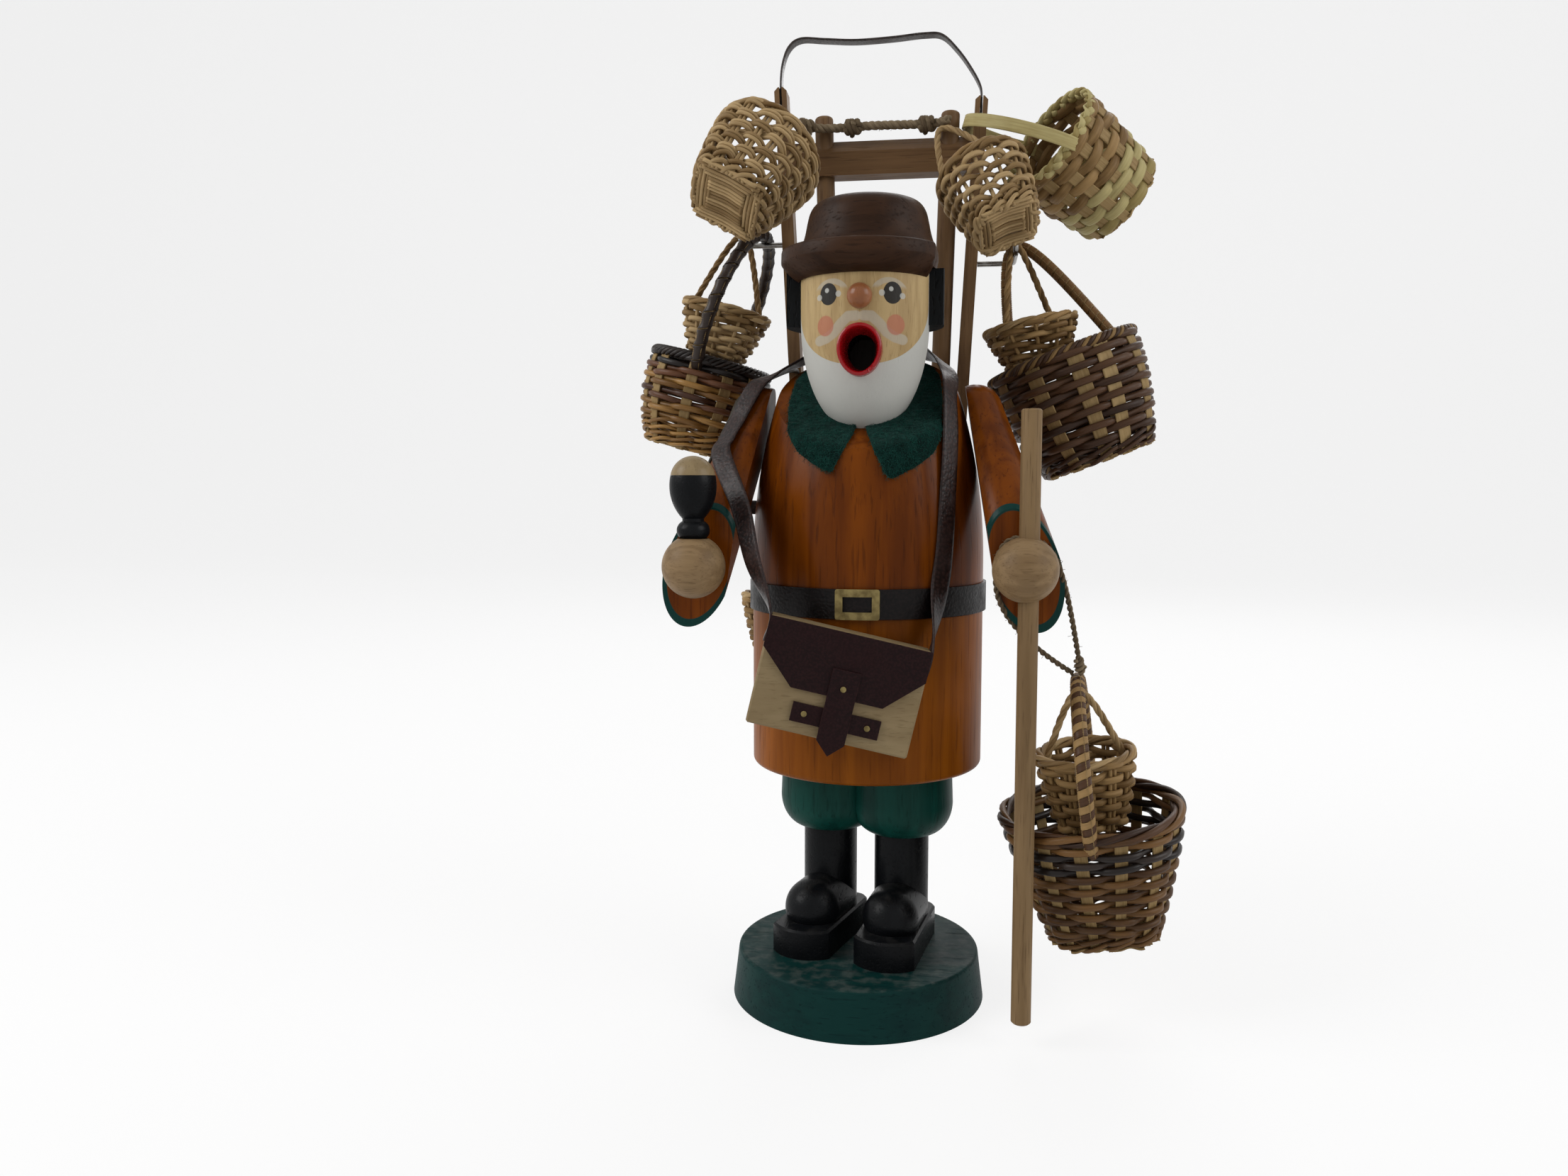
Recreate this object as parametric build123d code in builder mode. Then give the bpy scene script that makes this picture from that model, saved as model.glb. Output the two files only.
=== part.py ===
from build123d import *
import math
import os

# A turned wooden incense smoker: a travelling basket seller with a carrying frame.
# Millimetres. The origin is on the standing face, below the axis of the coat, and +Z is up.
# The figure looks along -Y. Left and right are its own: its left hand is at +X.

# Fits between pieces
glue_gap = 0.05
loose_gap = 0.3
seam_gap = 0.1

# Base disc
base_bottom_radius = 43.0
base_top_radius = 41.0
base_height = 16.3
base_edge_round = 1.2
base_ahead = 8.5

# Legs: the lower figure stands turned to its own right
lower_turn = -13.0
toe_out = 3.5
leg_spacing = 26.0
sole_width = 20.5
sole_height = 9.7
sole_front = 31.0
sole_back = 13.5
sole_bow = 5.0
sole_heel_round = 5.0
sole_chamfer = 0.7
toe_radius = 9.6
toe_height = 13.2
toe_ahead = 15.6
shaft_radius = 9.3
shaft_height = 29.0
shaft_tenon_radius = 6.0
shaft_tenon_height = 9.0
breeches_radius = 17.5
breeches_top_radius = 17.0
breeches_height = 24.0
breeches_bulge_height = 11.0
breeches_tenon_radius = 7.0
breeches_tenon_height = 9.0

# Coat
coat_radius = 39.3
lower_coat_height = 53.3
hem_round = 2.0
spigot_radius = 31.0
spigot_height = 9.0
spigot_chamfer = 0.8
coat_straight_height = 16.0
coat_taper_height = 54.7
coat_taper_radius = 185.0
coat_shoulder_radius = 30.0
chamber_radius = 27.0
chamber_height = 46.0
chamber_round = 12.0
draught_hole_radius = 4.0
draught_hole_height = 40.0

# Incense dish inside
dish_radius = 15.0
dish_wall = 0.8
dish_height = 3.0
nail_head_radius = 2.2
nail_head_height = 0.8
nail_radius = 0.8
nail_length = 8.0

# Belt
belt_width = 9.4
belt_thickness = 1.0
buckle_width = 14.0
buckle_height = 9.6
buckle_bar = 2.4
buckle_thickness = 0.9

# Neck face: a slanted flat that carries the head
neck_slope = 33.0
neck_front_height = 53.2

# Head
head_radius = 20.8
head_egg_height = 38.0
head_chin_radius = 13.5
head_brow_height = 12.6
head_ahead = 17.0
head_chin_height = 60.1
flue_radius = 4.6
mouth_height = 23.6
mouth_width = 14.3
mouth_tall = 16.4
mouth_ring_wall = 2.6
mouth_proud = 1.6
mouth_depth = 9.0
nose_radius = 3.9
nose_height = 39.8
nose_proud = 0.8
band_thickness = 4.6
band_height = 17.6
band_sweep = 196.0

# Cap
crown_rim_radius = 23.2
crown_brow_radius = 25.0
crown_brow_height = 6.0
crown_top_radius = 19.4
crown_side_height = 19.0
crown_height = 25.0
visor_drop = 3.6
visor_reach = 26.4
visor_lip = 5.2
visor_slope_height = 5.6
visor_sweep = 150.0

# Collar of felt
collar_thickness = 1.3
collar_half_width = 26.0
collar_tip_spread = 9.6
collar_tip_drop = 10.6
collar_lobe_x = 20.5
collar_lobe_drop = 3.4
collar_side_rise = 14.0
collar_back_rise = 54.0
collar_notch_half = 1.6

# Arms and hands
arm_shoulder_x = 36.0
arm_shoulder_height = 66.7
arm_shoulder_radius = 9.0
arm_cuff_radius = 11.2
arm_flat_height = 44.0
cuff_x = 51.0
cuff_ahead = 36.0
cuff_height = 16.7
hand_radius = 10.0
hand_seat = 9.0
hand_tenon_radius = 3.0
hand_tenon_length = 8.0
staff_radius = 3.1
staff_below = 141.0
staff_above = 48.0
staff_chamfer = 0.5
staff_offset = 1.0

# Pipe
pipe_peg_radius = 2.0
pipe_peg_length = 6.0
pipe_knob_radius = 5.2
pipe_knob_height = 5.8
pipe_sink = 1.6
pipe_seat_radius = 4.8
pipe_waist_radius = 3.4
pipe_bowl_radius = 7.0
pipe_bowl_foot = 6.6
pipe_bowl_height = 13.4
pipe_lid_height = 6.0

# Carrying frame
frame_bar_depth = 9.0
post_shift = 2.7
post_radius = 3.4
post_spacing = 46.6
post_bottom = 9.7
post_splay = 1.6
post_top = 178.0
post_dome = 1.4
rail_width = 4.6
rail_depth = 8.0
rail_shift = 0.5
rail_spread = 54.4
rail_bottom = 7.0
rail_splay = 3.1
right_rail_top = 188.4
left_rail_top = 182.0
rail_tip_chamfer = 1.4
rail_slit_depth = 7.0
top_bar_bottom = 155.7
top_bar_height = 13.3
top_bar_bevel = 4.8
middle_bar_bottom = 12.5
middle_bar_height = 10.0
bar_dowel_radius = 2.0
bar_dowel_length = 6.0
bar_dowel_spacing = 16.0

# Leather handle of the frame
handle_thickness = 0.8
handle_width = 5.5
handle_rise = 23.5
handle_sag = 3.6
handle_bend = 9.0

# Wire hooks for the side baskets
hook_radius = 1.0
hook_past = 5.0
hook_tip = 3.0
hook_bend = 2.5
right_hook_height = 132.0
right_hook_reach = 7.0
right_hook_corner = 14.5
right_hook_ahead = 6.0
left_hook_height = 123.0
left_hook_reach = 13.0
left_hook_ahead = 7.5
left_small_hook_ahead = 15.5
back_hook_height = 20.0
back_hook_reach = 10.0
back_hook_behind = 22.5

# Shoulder bag
bag_width = 50.8
bag_height = 34.0
bag_depth = 10.0
bag_tilt = 13.3
bag_yaw = 8.0
bag_x = -4.6
bag_drop = 19.4
bag_edge = 0.6
leather_thickness = 0.9
flap_side = 9.6
flap_drop = 20.2
flap_corner = 11.0
tongue_width = 8.8
tongue_top = 5.7
tongue_bottom = 17.0
tongue_point = 4.3
tongue_shift = 1.3
cross_length = 27.6
cross_width = 6.0
cross_drop = 10.2
stud_radius = 0.9
stud_height = 0.5
stud_spacing = 19.8
strap_width = 7.0
strap_thickness = 0.9
strap_x = 27.4
strap_shoulder_rise = 5.0
strap_neck_rise = 23.0

# Carrying strap of the frame, round the figure's right shoulder
carry_width = 5.0
carry_thickness = 1.2

# Wicker: wall, rim roll and handle rods
wicker_wall = 1.9
wicker_rim_radius = 1.6
rod_radius = 1.1
wrapped_rod_radius = 1.9
leg_bite = 1.0
leg_depth = 5.0
small_bend = 5.0
small_ride = 1.3

# Basket hung on the right hook: rim middle seen from the hook, lean, and turn of the handle
right_basket_rim_radius = 22.5
right_basket_foot_radius = 17.0
right_basket_height = 35.0
right_basket_bulge = 3.0
right_basket_out = 20.5
right_basket_drop = 43.0
right_basket_lean = 15.0
right_basket_twist = 88.0

# Small basket on the same hook
right_small_rim_radius = 16.5
right_small_foot_radius = 11.0
right_small_height = 18.0
right_small_bulge = 0.5
right_small_out = 6.0
right_small_drop = 24.5
right_small_lean = 15.0
right_small_twist = 0.0

# Basket hung on the left hook
left_basket_rim_radius = 27.0
left_basket_foot_radius = 20.0
left_basket_height = 41.0
left_basket_bulge = 2.5
left_basket_out = 17.0
left_basket_drop = 34.5
left_basket_lean = -21.0
left_basket_twist = -40.0
left_basket_bend = 10.0
left_basket_ride = 1.0

# Small basket on the same hook
left_small_rim_radius = 16.5
left_small_foot_radius = 11.5
left_small_height = 14.5
left_small_bulge = 0.5
left_small_out = 5.5
left_small_ahead = 1.5
left_small_drop = 24.5
left_small_lean = -12.0
left_small_twist = 47.0

# Basket tied to the left wrist, seen from the staff
hand_basket_rim_radius = 29.0
hand_basket_foot_radius = 18.0
hand_basket_height = 42.0
hand_basket_bulge = 1.0
hand_basket_bearing = 49.0
hand_basket_drop = 79.0
hand_basket_lean = -7.0
hand_basket_nod = 4.0
hand_basket_arch = 42.0
hand_basket_twist = 84.0
hand_small_rim_radius = 15.5
hand_small_foot_radius = 11.0
hand_small_height = 24.0
hand_small_bulge = 0.5
hand_small_sink = 5.0
hand_small_twist = 0.0

# Small basket hung low on the right rail, behind the coat
back_basket_rim_radius = 16.0
back_basket_foot_radius = 11.0
back_basket_height = 22.0
back_basket_bulge = 0.5
back_basket_drop = 22.0

# Baskets tied to the tops of the posts and the chip basket on the left rail
upper_right_rim_radius = 20.0
upper_right_foot_radius = 14.0
upper_right_height = 34.0
upper_right_bulge = 1.0
upper_left_rim_radius = 16.0
upper_left_foot_radius = 11.5
upper_left_height = 26.0
upper_left_bulge = 0.5
chip_rim_radius = 21.0
chip_foot_radius = 17.5
chip_height = 37.0
chip_bulge = 0.5
chip_band_width = 4.5
chip_band_thickness = 1.1
chip_band_clear = 2.8

# Twine
twine_radius = 0.9
knot_half = 1.2

# Heights that the pieces share
sole_top = base_height + sole_height
breeches_bottom = sole_top + shaft_height
hem_z = breeches_bottom + breeches_height
seam_z = hem_z + lower_coat_height
coat_straight_top = seam_z + coat_straight_height
coat_taper_top = coat_straight_top + coat_taper_height
coat_taper_angle = math.asin(coat_taper_height / coat_taper_radius)
coat_taper_inset = coat_taper_radius * (1 - math.cos(coat_taper_angle))
coat_taper_top_radius = coat_radius - coat_taper_inset
head_y = -head_ahead
chin_z = seam_z + head_chin_height
head_wide_z = chin_z + head_egg_height
head_top_z = head_wide_z + head_brow_height
head_egg_drop = head_egg_height - head_chin_radius
head_egg_square = head_radius**2 + head_egg_drop**2 - head_chin_radius**2
head_side_radius = head_egg_square / (2 * (head_radius - head_chin_radius))
frame_y = coat_radius + glue_gap + frame_bar_depth / 2
hand_y = -cuff_ahead - hand_seat
hand_z = seam_z + cuff_height

SIDES = (("left", 1), ("right", -1))


def upright(x, y, z=0.0):
    """Drawing plane through a point, with local x along +X and local y up."""
    return Plane(origin=(x, y, z), x_dir=(1, 0, 0), z_dir=(0, -1, 0))


def upright_axis(x, y):
    """Vertical axis through a point of the floor."""
    return Axis((x, y, 0), (0, 0, 1))


def coat_radius_at(z):
    """Radius of the upper coat at a height."""
    if z <= coat_straight_top:
        return coat_radius
    if z <= coat_taper_top:
        rise = z - coat_straight_top
        return coat_radius - coat_taper_radius + math.sqrt(coat_taper_radius**2 - rise**2)
    rise = z - coat_taper_top + coat_shoulder_radius * math.sin(coat_taper_angle)
    inset = coat_shoulder_radius * math.cos(coat_taper_angle)
    return coat_taper_top_radius - inset + math.sqrt(max(coat_shoulder_radius**2 - rise**2, 0.0))


def coat_outline(extra):
    """Half outline of the upper coat, grown outward by extra, on the upright plane."""
    centre_x = coat_radius - coat_taper_radius
    taper = coat_taper_radius + extra
    shoulder = coat_shoulder_radius + extra
    start_degrees = math.degrees(coat_taper_angle)
    shoulder_x = coat_taper_top_radius - coat_shoulder_radius * math.cos(coat_taper_angle)
    shoulder_z = coat_taper_top - coat_shoulder_radius * math.sin(coat_taper_angle)
    with BuildLine(upright(0, 0)) as outline:
        Line((0, seam_z + seam_gap), (coat_radius + extra, seam_z + seam_gap))
        Line((coat_radius + extra, seam_z + seam_gap), (coat_radius + extra, coat_straight_top))
        CenterArc((centre_x, coat_straight_top), taper, 0, start_degrees)
        CenterArc((shoulder_x, shoulder_z), shoulder, start_degrees, 90 - start_degrees)
        Line((shoulder_x, shoulder_z + shoulder), (0, shoulder_z + shoulder))
        Line((0, shoulder_z + shoulder), (0, seam_z + seam_gap))
    return outline


neck_front_z = seam_z + neck_front_height
neck_front_y = -coat_radius_at(neck_front_z)
neck_normal = Vector(0, -math.sin(math.radians(neck_slope)), math.cos(math.radians(neck_slope)))


def neck_plane(offset=0.0):
    """Slanted plane of the neck face, moved along its normal; local y climbs to the back."""
    origin = Vector(0, neck_front_y, neck_front_z) + neck_normal * offset
    return Plane(origin=origin, x_dir=(1, 0, 0), z_dir=neck_normal)


def coat_form(extra):
    """Solid of the coat's outside, grown by extra, with the neck face cut."""
    with BuildPart() as form:
        with BuildSketch(upright(0, 0)):
            add(coat_outline(extra).line)
            make_face()
        revolve(axis=Axis.Z)
        split(bisect_by=neck_plane(extra), keep=Keep.BOTTOM)
    return form.part


def head_form(extra):
    """Solid of the turned egg of the head, grown by extra."""
    side_x = head_radius - head_side_radius
    chin_centre_z = chin_z + head_chin_radius
    join = math.degrees(math.atan2(head_wide_z - chin_centre_z, head_side_radius - head_radius))
    with BuildPart() as form:
        with BuildSketch(upright(0, head_y)):
            with BuildLine():
                CenterArc((0, chin_centre_z), head_chin_radius + extra, 270, 90 - join)
                CenterArc((side_x, head_wide_z), head_side_radius + extra, -join, join)
                Line((head_radius + extra, head_wide_z), (head_radius + extra, head_top_z))
                Line((head_radius + extra, head_top_z), (0, head_top_z))
                Line((0, head_top_z), (0, chin_z - extra))
            make_face()
        revolve(axis=upright_axis(0, head_y))
    return form.part


def unit(vector):
    """Vector of length one."""
    return vector / vector.length


def ribbon(stations, width, thickness):
    """Strap through stations of (point, outward normal): a ruled loft of flat sections."""
    points = [Vector(*point) for point, _ in stations]
    with BuildPart() as strap:
        for index, (point, normal) in enumerate(stations):
            before = points[max(index - 1, 0)]
            after = points[min(index + 1, len(points) - 1)]
            tangent = unit(after - before)
            outward = Vector(*normal)
            outward = unit(outward - tangent * outward.dot(tangent))
            centre = points[index] + outward * (thickness / 2)
            with BuildSketch(Plane(origin=centre, x_dir=outward.cross(tangent), z_dir=tangent)):
                Rectangle(width, thickness)
        loft(ruled=True)
    return strap


def tube(points, radii, radius):
    """Round rod or cord along straight runs with rounded corners."""
    with BuildPart() as rod:
        with BuildLine() as path:
            FilletPolyline(*points, radius=radii)
        first = path.line.edges().sort_by_distance(points[0])[0]
        start = first @ 0 if (first @ 0 - Vector(*points[0])).length < 1e-3 else first @ 1
        heading = Vector(*points[1]) - Vector(*points[0])
        with BuildSketch(Plane(origin=start, z_dir=heading)):
            Circle(radius)
        sweep(path=path.line)
    return rod


def save(piece, name):
    """Label a finished piece and write it."""
    piece.part.label = name
    export_step(piece.part, f"parts/{name}.step")


os.makedirs("parts", exist_ok=True)

# Lower figure: base disc

turn = math.radians(lower_turn)
facing = Vector(math.sin(turn), -math.cos(turn))
sideways = Vector(math.cos(turn), math.sin(turn))
base_centre = facing * base_ahead

with BuildPart() as base_disc:
    with BuildSketch(upright(base_centre.X, base_centre.Y)):
        with BuildLine():
            Polyline(
                (0, 0),
                (base_bottom_radius, 0),
                (base_top_radius, base_height),
                (0, base_height),
                close=True,
            )
        make_face()
    revolve(axis=upright_axis(base_centre.X, base_centre.Y))
    fillet(base_disc.edges().group_by(Axis.Z)[-1], base_edge_round)
save(base_disc, "base_disc")

# Lower figure: boots and breeches


def boot_plane(side, z):
    """Plane of one boot at a height: local x across the boot, local -y towards its toe."""
    leg = sideways * (side * leg_spacing / 2)
    angle = math.radians(lower_turn + side * toe_out)
    across = (math.cos(angle), math.sin(angle), 0)
    return Plane(origin=(leg.X, leg.Y, z), x_dir=across, z_dir=(0, 0, 1))


for side_name, side in SIDES:
    floor_plane = boot_plane(side, base_height)
    leg_x = floor_plane.origin.X
    leg_y = floor_plane.origin.Y
    backward = Axis(floor_plane.origin, floor_plane.y_dir)

    with BuildPart() as sole:
        with BuildSketch(floor_plane):
            with BuildLine():
                Polyline(
                    (-sole_width / 2, sole_bow - sole_front),
                    (-sole_width / 2, sole_back),
                    (sole_width / 2, sole_back),
                    (sole_width / 2, sole_bow - sole_front),
                )
                ThreePointArc(
                    (sole_width / 2, sole_bow - sole_front),
                    (0, -sole_front),
                    (-sole_width / 2, sole_bow - sole_front),
                )
            make_face()
        extrude(amount=sole_height)
        fillet(sole.edges().filter_by(Axis.Z).sort_by(backward)[-2:], sole_heel_round)
        chamfer(sole.faces().sort_by(Axis.Z)[-1].edges(), sole_chamfer)
    save(sole, f"{side_name}_sole")

    toe_plane = boot_plane(side, sole_top + toe_height - toe_radius)
    with BuildPart() as toe_cap:
        with BuildSketch(toe_plane):
            with BuildLine():
                CenterArc((0, -toe_ahead), toe_radius, 270, 90)
                Polyline((toe_radius, -toe_ahead), (toe_radius, 0), (0, 0), (0, -toe_ahead - toe_radius))
            make_face()
        revolve(axis=Axis(toe_plane.origin, toe_plane.y_dir))
        split(bisect_by=Plane.XY.offset(sole_top), keep=Keep.TOP)
        with Locations((leg_x, leg_y, sole_top)):
            Cylinder(
                shaft_radius + glue_gap,
                2 * toe_height,
                align=(Align.CENTER, Align.CENTER, Align.MIN),
                mode=Mode.SUBTRACT,
            )
    save(toe_cap, f"{side_name}_toe_cap")

    with BuildPart() as boot_shaft:
        with Locations((leg_x, leg_y, sole_top)):
            Cylinder(shaft_radius, shaft_height, align=(Align.CENTER, Align.CENTER, Align.MIN))
            Cylinder(
                shaft_tenon_radius,
                shaft_height + shaft_tenon_height,
                align=(Align.CENTER, Align.CENTER, Align.MIN),
            )
    save(boot_shaft, f"{side_name}_boot_shaft")

    with BuildPart() as breeches:
        with BuildSketch(upright(leg_x, leg_y)):
            with BuildLine():
                bulge_z = breeches_bottom + breeches_bulge_height
                Line((0, breeches_bottom), (shaft_radius, breeches_bottom))
                EllipticalCenterArc(
                    (shaft_radius, bulge_z),
                    breeches_radius - shaft_radius,
                    breeches_bulge_height,
                    start_angle=270,
                    arc_size=90,
                )
                Polyline(
                    (breeches_radius, bulge_z),
                    (breeches_top_radius, hem_z),
                    (breeches_tenon_radius, hem_z),
                    (breeches_tenon_radius, hem_z + breeches_tenon_height),
                    (0, hem_z + breeches_tenon_height),
                    (0, breeches_bottom),
                )
            make_face()
        revolve(axis=upright_axis(leg_x, leg_y))
        with Locations((leg_x, leg_y, breeches_bottom)):
            Cylinder(
                shaft_tenon_radius + glue_gap,
                shaft_tenon_height + glue_gap,
                align=(Align.CENTER, Align.CENTER, Align.MIN),
                mode=Mode.SUBTRACT,
            )
        middle = Plane(origin=sideways * (side * glue_gap / 2), z_dir=sideways * side)
        split(bisect_by=middle, keep=Keep.TOP)
    save(breeches, f"{side_name}_breeches")

# Lower figure: coat with the plug, dish and nail

with BuildPart() as lower_coat:
    with Locations((0, 0, hem_z + glue_gap)):
        Cylinder(coat_radius, lower_coat_height - glue_gap, align=(Align.CENTER, Align.CENTER, Align.MIN))
    fillet(lower_coat.edges().group_by(Axis.Z)[0], hem_round)
    with Locations((0, 0, seam_z)):
        Cylinder(spigot_radius, spigot_height, align=(Align.CENTER, Align.CENTER, Align.MIN))
    chamfer(lower_coat.faces().sort_by(Axis.Z)[-1].edges(), spigot_chamfer)
    for _, side in SIDES:
        leg = sideways * (side * leg_spacing / 2)
        with Locations((leg.X, leg.Y, hem_z)):
            Cylinder(
                breeches_tenon_radius + glue_gap,
                breeches_tenon_height + 2 * glue_gap,
                align=(Align.CENTER, Align.CENTER, Align.MIN),
                mode=Mode.SUBTRACT,
            )
    with Locations((0, 0, seam_z + spigot_height)):
        Cylinder(
            nail_radius + glue_gap,
            2 * nail_length,
            mode=Mode.SUBTRACT,
        )
save(lower_coat, "lower_coat")

dish_z = seam_z + spigot_height + glue_gap
with BuildPart() as incense_dish:
    with BuildSketch(upright(0, 0)):
        with BuildLine():
            Polyline(
                (nail_radius + glue_gap, dish_z),
                (dish_radius - dish_height, dish_z),
                (dish_radius, dish_z + dish_height),
                (dish_radius - dish_wall, dish_z + dish_height),
                (dish_radius - dish_height - dish_wall / 2, dish_z + dish_wall),
                (nail_radius + glue_gap, dish_z + dish_wall),
                close=True,
            )
        make_face()
    revolve(axis=Axis.Z)
save(incense_dish, "incense_dish")

nail_z = dish_z + dish_wall + glue_gap
with BuildPart() as dish_nail:
    with Locations((0, 0, nail_z)):
        Cylinder(nail_head_radius, nail_head_height, align=(Align.CENTER, Align.CENTER, Align.MIN))
        Cylinder(nail_radius, nail_length, align=(Align.CENTER, Align.CENTER, Align.MAX))
save(dish_nail, "dish_nail")

# Upper figure: coat shell with the smoke chamber

chamber_top = seam_z + spigot_height + chamber_height
middle_bar_z = seam_z + middle_bar_bottom + middle_bar_height / 2
arm_flat_z = seam_z + arm_flat_height
arm_flat_lean = math.asin((arm_flat_z - coat_straight_top) / coat_taper_radius)

with BuildPart() as upper_coat:
    with BuildSketch(upright(0, 0)):
        add(coat_outline(0).line)
        make_face()
    revolve(axis=Axis.Z)
    with BuildSketch(upright(0, 0)):
        with BuildLine():
            Polyline(
                (0, seam_z),
                (spigot_radius + loose_gap, seam_z),
                (spigot_radius + loose_gap, seam_z + spigot_height + loose_gap),
                (chamber_radius, seam_z + spigot_height + loose_gap),
                (chamber_radius, chamber_top - chamber_round),
            )
            CenterArc((chamber_radius - chamber_round, chamber_top - chamber_round), chamber_round, 0, 90)
            Polyline((chamber_radius - chamber_round, chamber_top), (0, chamber_top), (0, seam_z))
        make_face()
    revolve(axis=Axis.Z, mode=Mode.SUBTRACT)
    split(bisect_by=neck_plane(), keep=Keep.BOTTOM)
    with BuildSketch(Plane.XY.offset(chamber_top - chamber_round)):
        with Locations((0, head_y)):
            Circle(flue_radius)
    extrude(amount=head_top_z - chamber_top, mode=Mode.SUBTRACT)
    with BuildSketch(Plane.XZ.offset(-chamber_radius / 2)):
        with Locations((0, seam_z + draught_hole_height)):
            Circle(draught_hole_radius)
        with Locations((post_shift, middle_bar_z)):
            with GridLocations(bar_dowel_spacing, 0, 2, 1):
                Circle(bar_dowel_radius + glue_gap)
    extrude(amount=-coat_radius, mode=Mode.SUBTRACT)
save(upper_coat, "upper_coat")

# Upper figure: belt and buckle

belt_z = seam_z + loose_gap
belt_inner = coat_radius + glue_gap
belt_outer = belt_inner + belt_thickness
with BuildPart() as belt:
    with BuildSketch(Plane.XY.offset(belt_z)):
        Circle(belt_outer)
        Circle(belt_inner, mode=Mode.SUBTRACT)
    extrude(amount=belt_width)
save(belt, "belt")

with BuildPart() as belt_buckle:
    with BuildSketch(Plane.XY.offset(seam_z - belt_width)):
        Circle(belt_outer + glue_gap + buckle_thickness)
        Circle(belt_outer + glue_gap, mode=Mode.SUBTRACT)
    extrude(amount=3 * belt_width)
    with BuildSketch(upright(0, 0, belt_z + belt_width / 2)):
        RectangleRounded(buckle_width, buckle_height, buckle_bar / 3)
        Rectangle(buckle_width - 2 * buckle_bar, buckle_height - 2 * buckle_bar, mode=Mode.SUBTRACT)
    extrude(amount=2 * coat_radius, mode=Mode.INTERSECT)
save(belt_buckle, "belt_buckle")

# Upper figure: head

mouth_z = chin_z + mouth_height
nose_z = chin_z + nose_height
nose_y = head_y - head_radius - nose_proud
with BuildPart() as head:
    add(head_form(0))
    split(bisect_by=neck_plane(glue_gap), keep=Keep.TOP)
    with BuildSketch(Plane.XY.offset(chin_z - head_radius)):
        with Locations((0, head_y)):
            Circle(flue_radius)
    extrude(amount=mouth_z - chin_z + head_radius + flue_radius, mode=Mode.SUBTRACT)
    with BuildSketch(upright(0, head_y, mouth_z)):
        Ellipse(mouth_width / 2 - mouth_ring_wall, mouth_tall / 2 - mouth_ring_wall)
    extrude(amount=2 * head_radius, mode=Mode.SUBTRACT)
    with BuildSketch(upright(0, head_y - head_radius + mouth_depth, mouth_z)):
        Ellipse(mouth_width / 2 + glue_gap, mouth_tall / 2 + glue_gap)
    extrude(amount=2 * head_radius, mode=Mode.SUBTRACT)
    with Locations((0, nose_y, nose_z)):
        Sphere(nose_radius + glue_gap, mode=Mode.SUBTRACT)
save(head, "head")

with BuildPart() as mouth_ring:
    with BuildSketch(upright(0, head_y - head_radius + mouth_depth - glue_gap, mouth_z)):
        Ellipse(mouth_width / 2, mouth_tall / 2)
        Ellipse(
            mouth_width / 2 - mouth_ring_wall,
            mouth_tall / 2 - mouth_ring_wall,
            mode=Mode.SUBTRACT,
        )
    extrude(amount=mouth_depth + mouth_proud)
    fillet(mouth_ring.faces().sort_by(Axis.Y)[0].edges(), mouth_ring_wall / 3)
save(mouth_ring, "mouth_ring")

with BuildPart() as nose:
    with Locations((0, nose_y, nose_z)):
        Sphere(nose_radius)
save(nose, "nose")

band_start = math.radians((180 - band_sweep) / 2)
band_dir = (math.cos(band_start), math.sin(band_start), 0)
band_side = (math.sin(band_start), -math.cos(band_start), 0)
with BuildPart() as hair_band:
    with BuildSketch(Plane(origin=(0, head_y, head_top_z - glue_gap), x_dir=band_dir, z_dir=band_side)):
        with Locations((head_radius + glue_gap, 0)):
            Rectangle(band_thickness, band_height, align=(Align.MIN, Align.MAX))
    revolve(axis=upright_axis(0, head_y), revolution_arc=band_sweep)
save(hair_band, "hair_band")

# Upper figure: cap

crown_z = head_top_z + glue_gap
crown_dome_rise = crown_height - crown_side_height
crown_dome_radius = (crown_top_radius**2 + crown_dome_rise**2) / (2 * crown_dome_rise)
crown_dome_z = crown_height - crown_dome_radius
crown_dome_start = math.degrees(math.acos(crown_top_radius / crown_dome_radius))
with BuildPart() as cap_crown:
    with BuildSketch(upright(0, head_y, crown_z)):
        with BuildLine():
            Polyline(
                (0, 0),
                (crown_rim_radius, 0),
                (crown_brow_radius, crown_brow_height),
                (crown_top_radius, crown_side_height),
            )
            CenterArc((0, crown_dome_z), crown_dome_radius, crown_dome_start, 90 - crown_dome_start)
            Line((0, crown_height), (0, 0))
        make_face()
    revolve(axis=upright_axis(0, head_y))
save(cap_crown, "cap_crown")

visor_start = math.radians(270 - visor_sweep / 2)
visor_dir = (math.cos(visor_start), math.sin(visor_start), 0)
visor_side = (math.sin(visor_start), -math.cos(visor_start), 0)
with BuildPart() as cap_visor:
    with BuildSketch(Plane(origin=(0, head_y, crown_z - glue_gap), x_dir=visor_dir, z_dir=visor_side)):
        with BuildLine():
            lip_z = visor_slope_height - visor_drop
            Polyline(
                (head_radius + glue_gap, -visor_drop),
                (visor_reach, lip_z),
                (visor_reach, lip_z + visor_lip / 2),
                (crown_brow_radius + glue_gap, crown_brow_height),
                (crown_rim_radius + glue_gap, 0),
                (head_radius + glue_gap, 0),
                close=True,
            )
        make_face()
    revolve(axis=upright_axis(0, head_y), revolution_arc=visor_sweep)
save(cap_visor, "cap_visor")

# Upper figure: felt collar, a skin on the chest and the neck face

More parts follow.
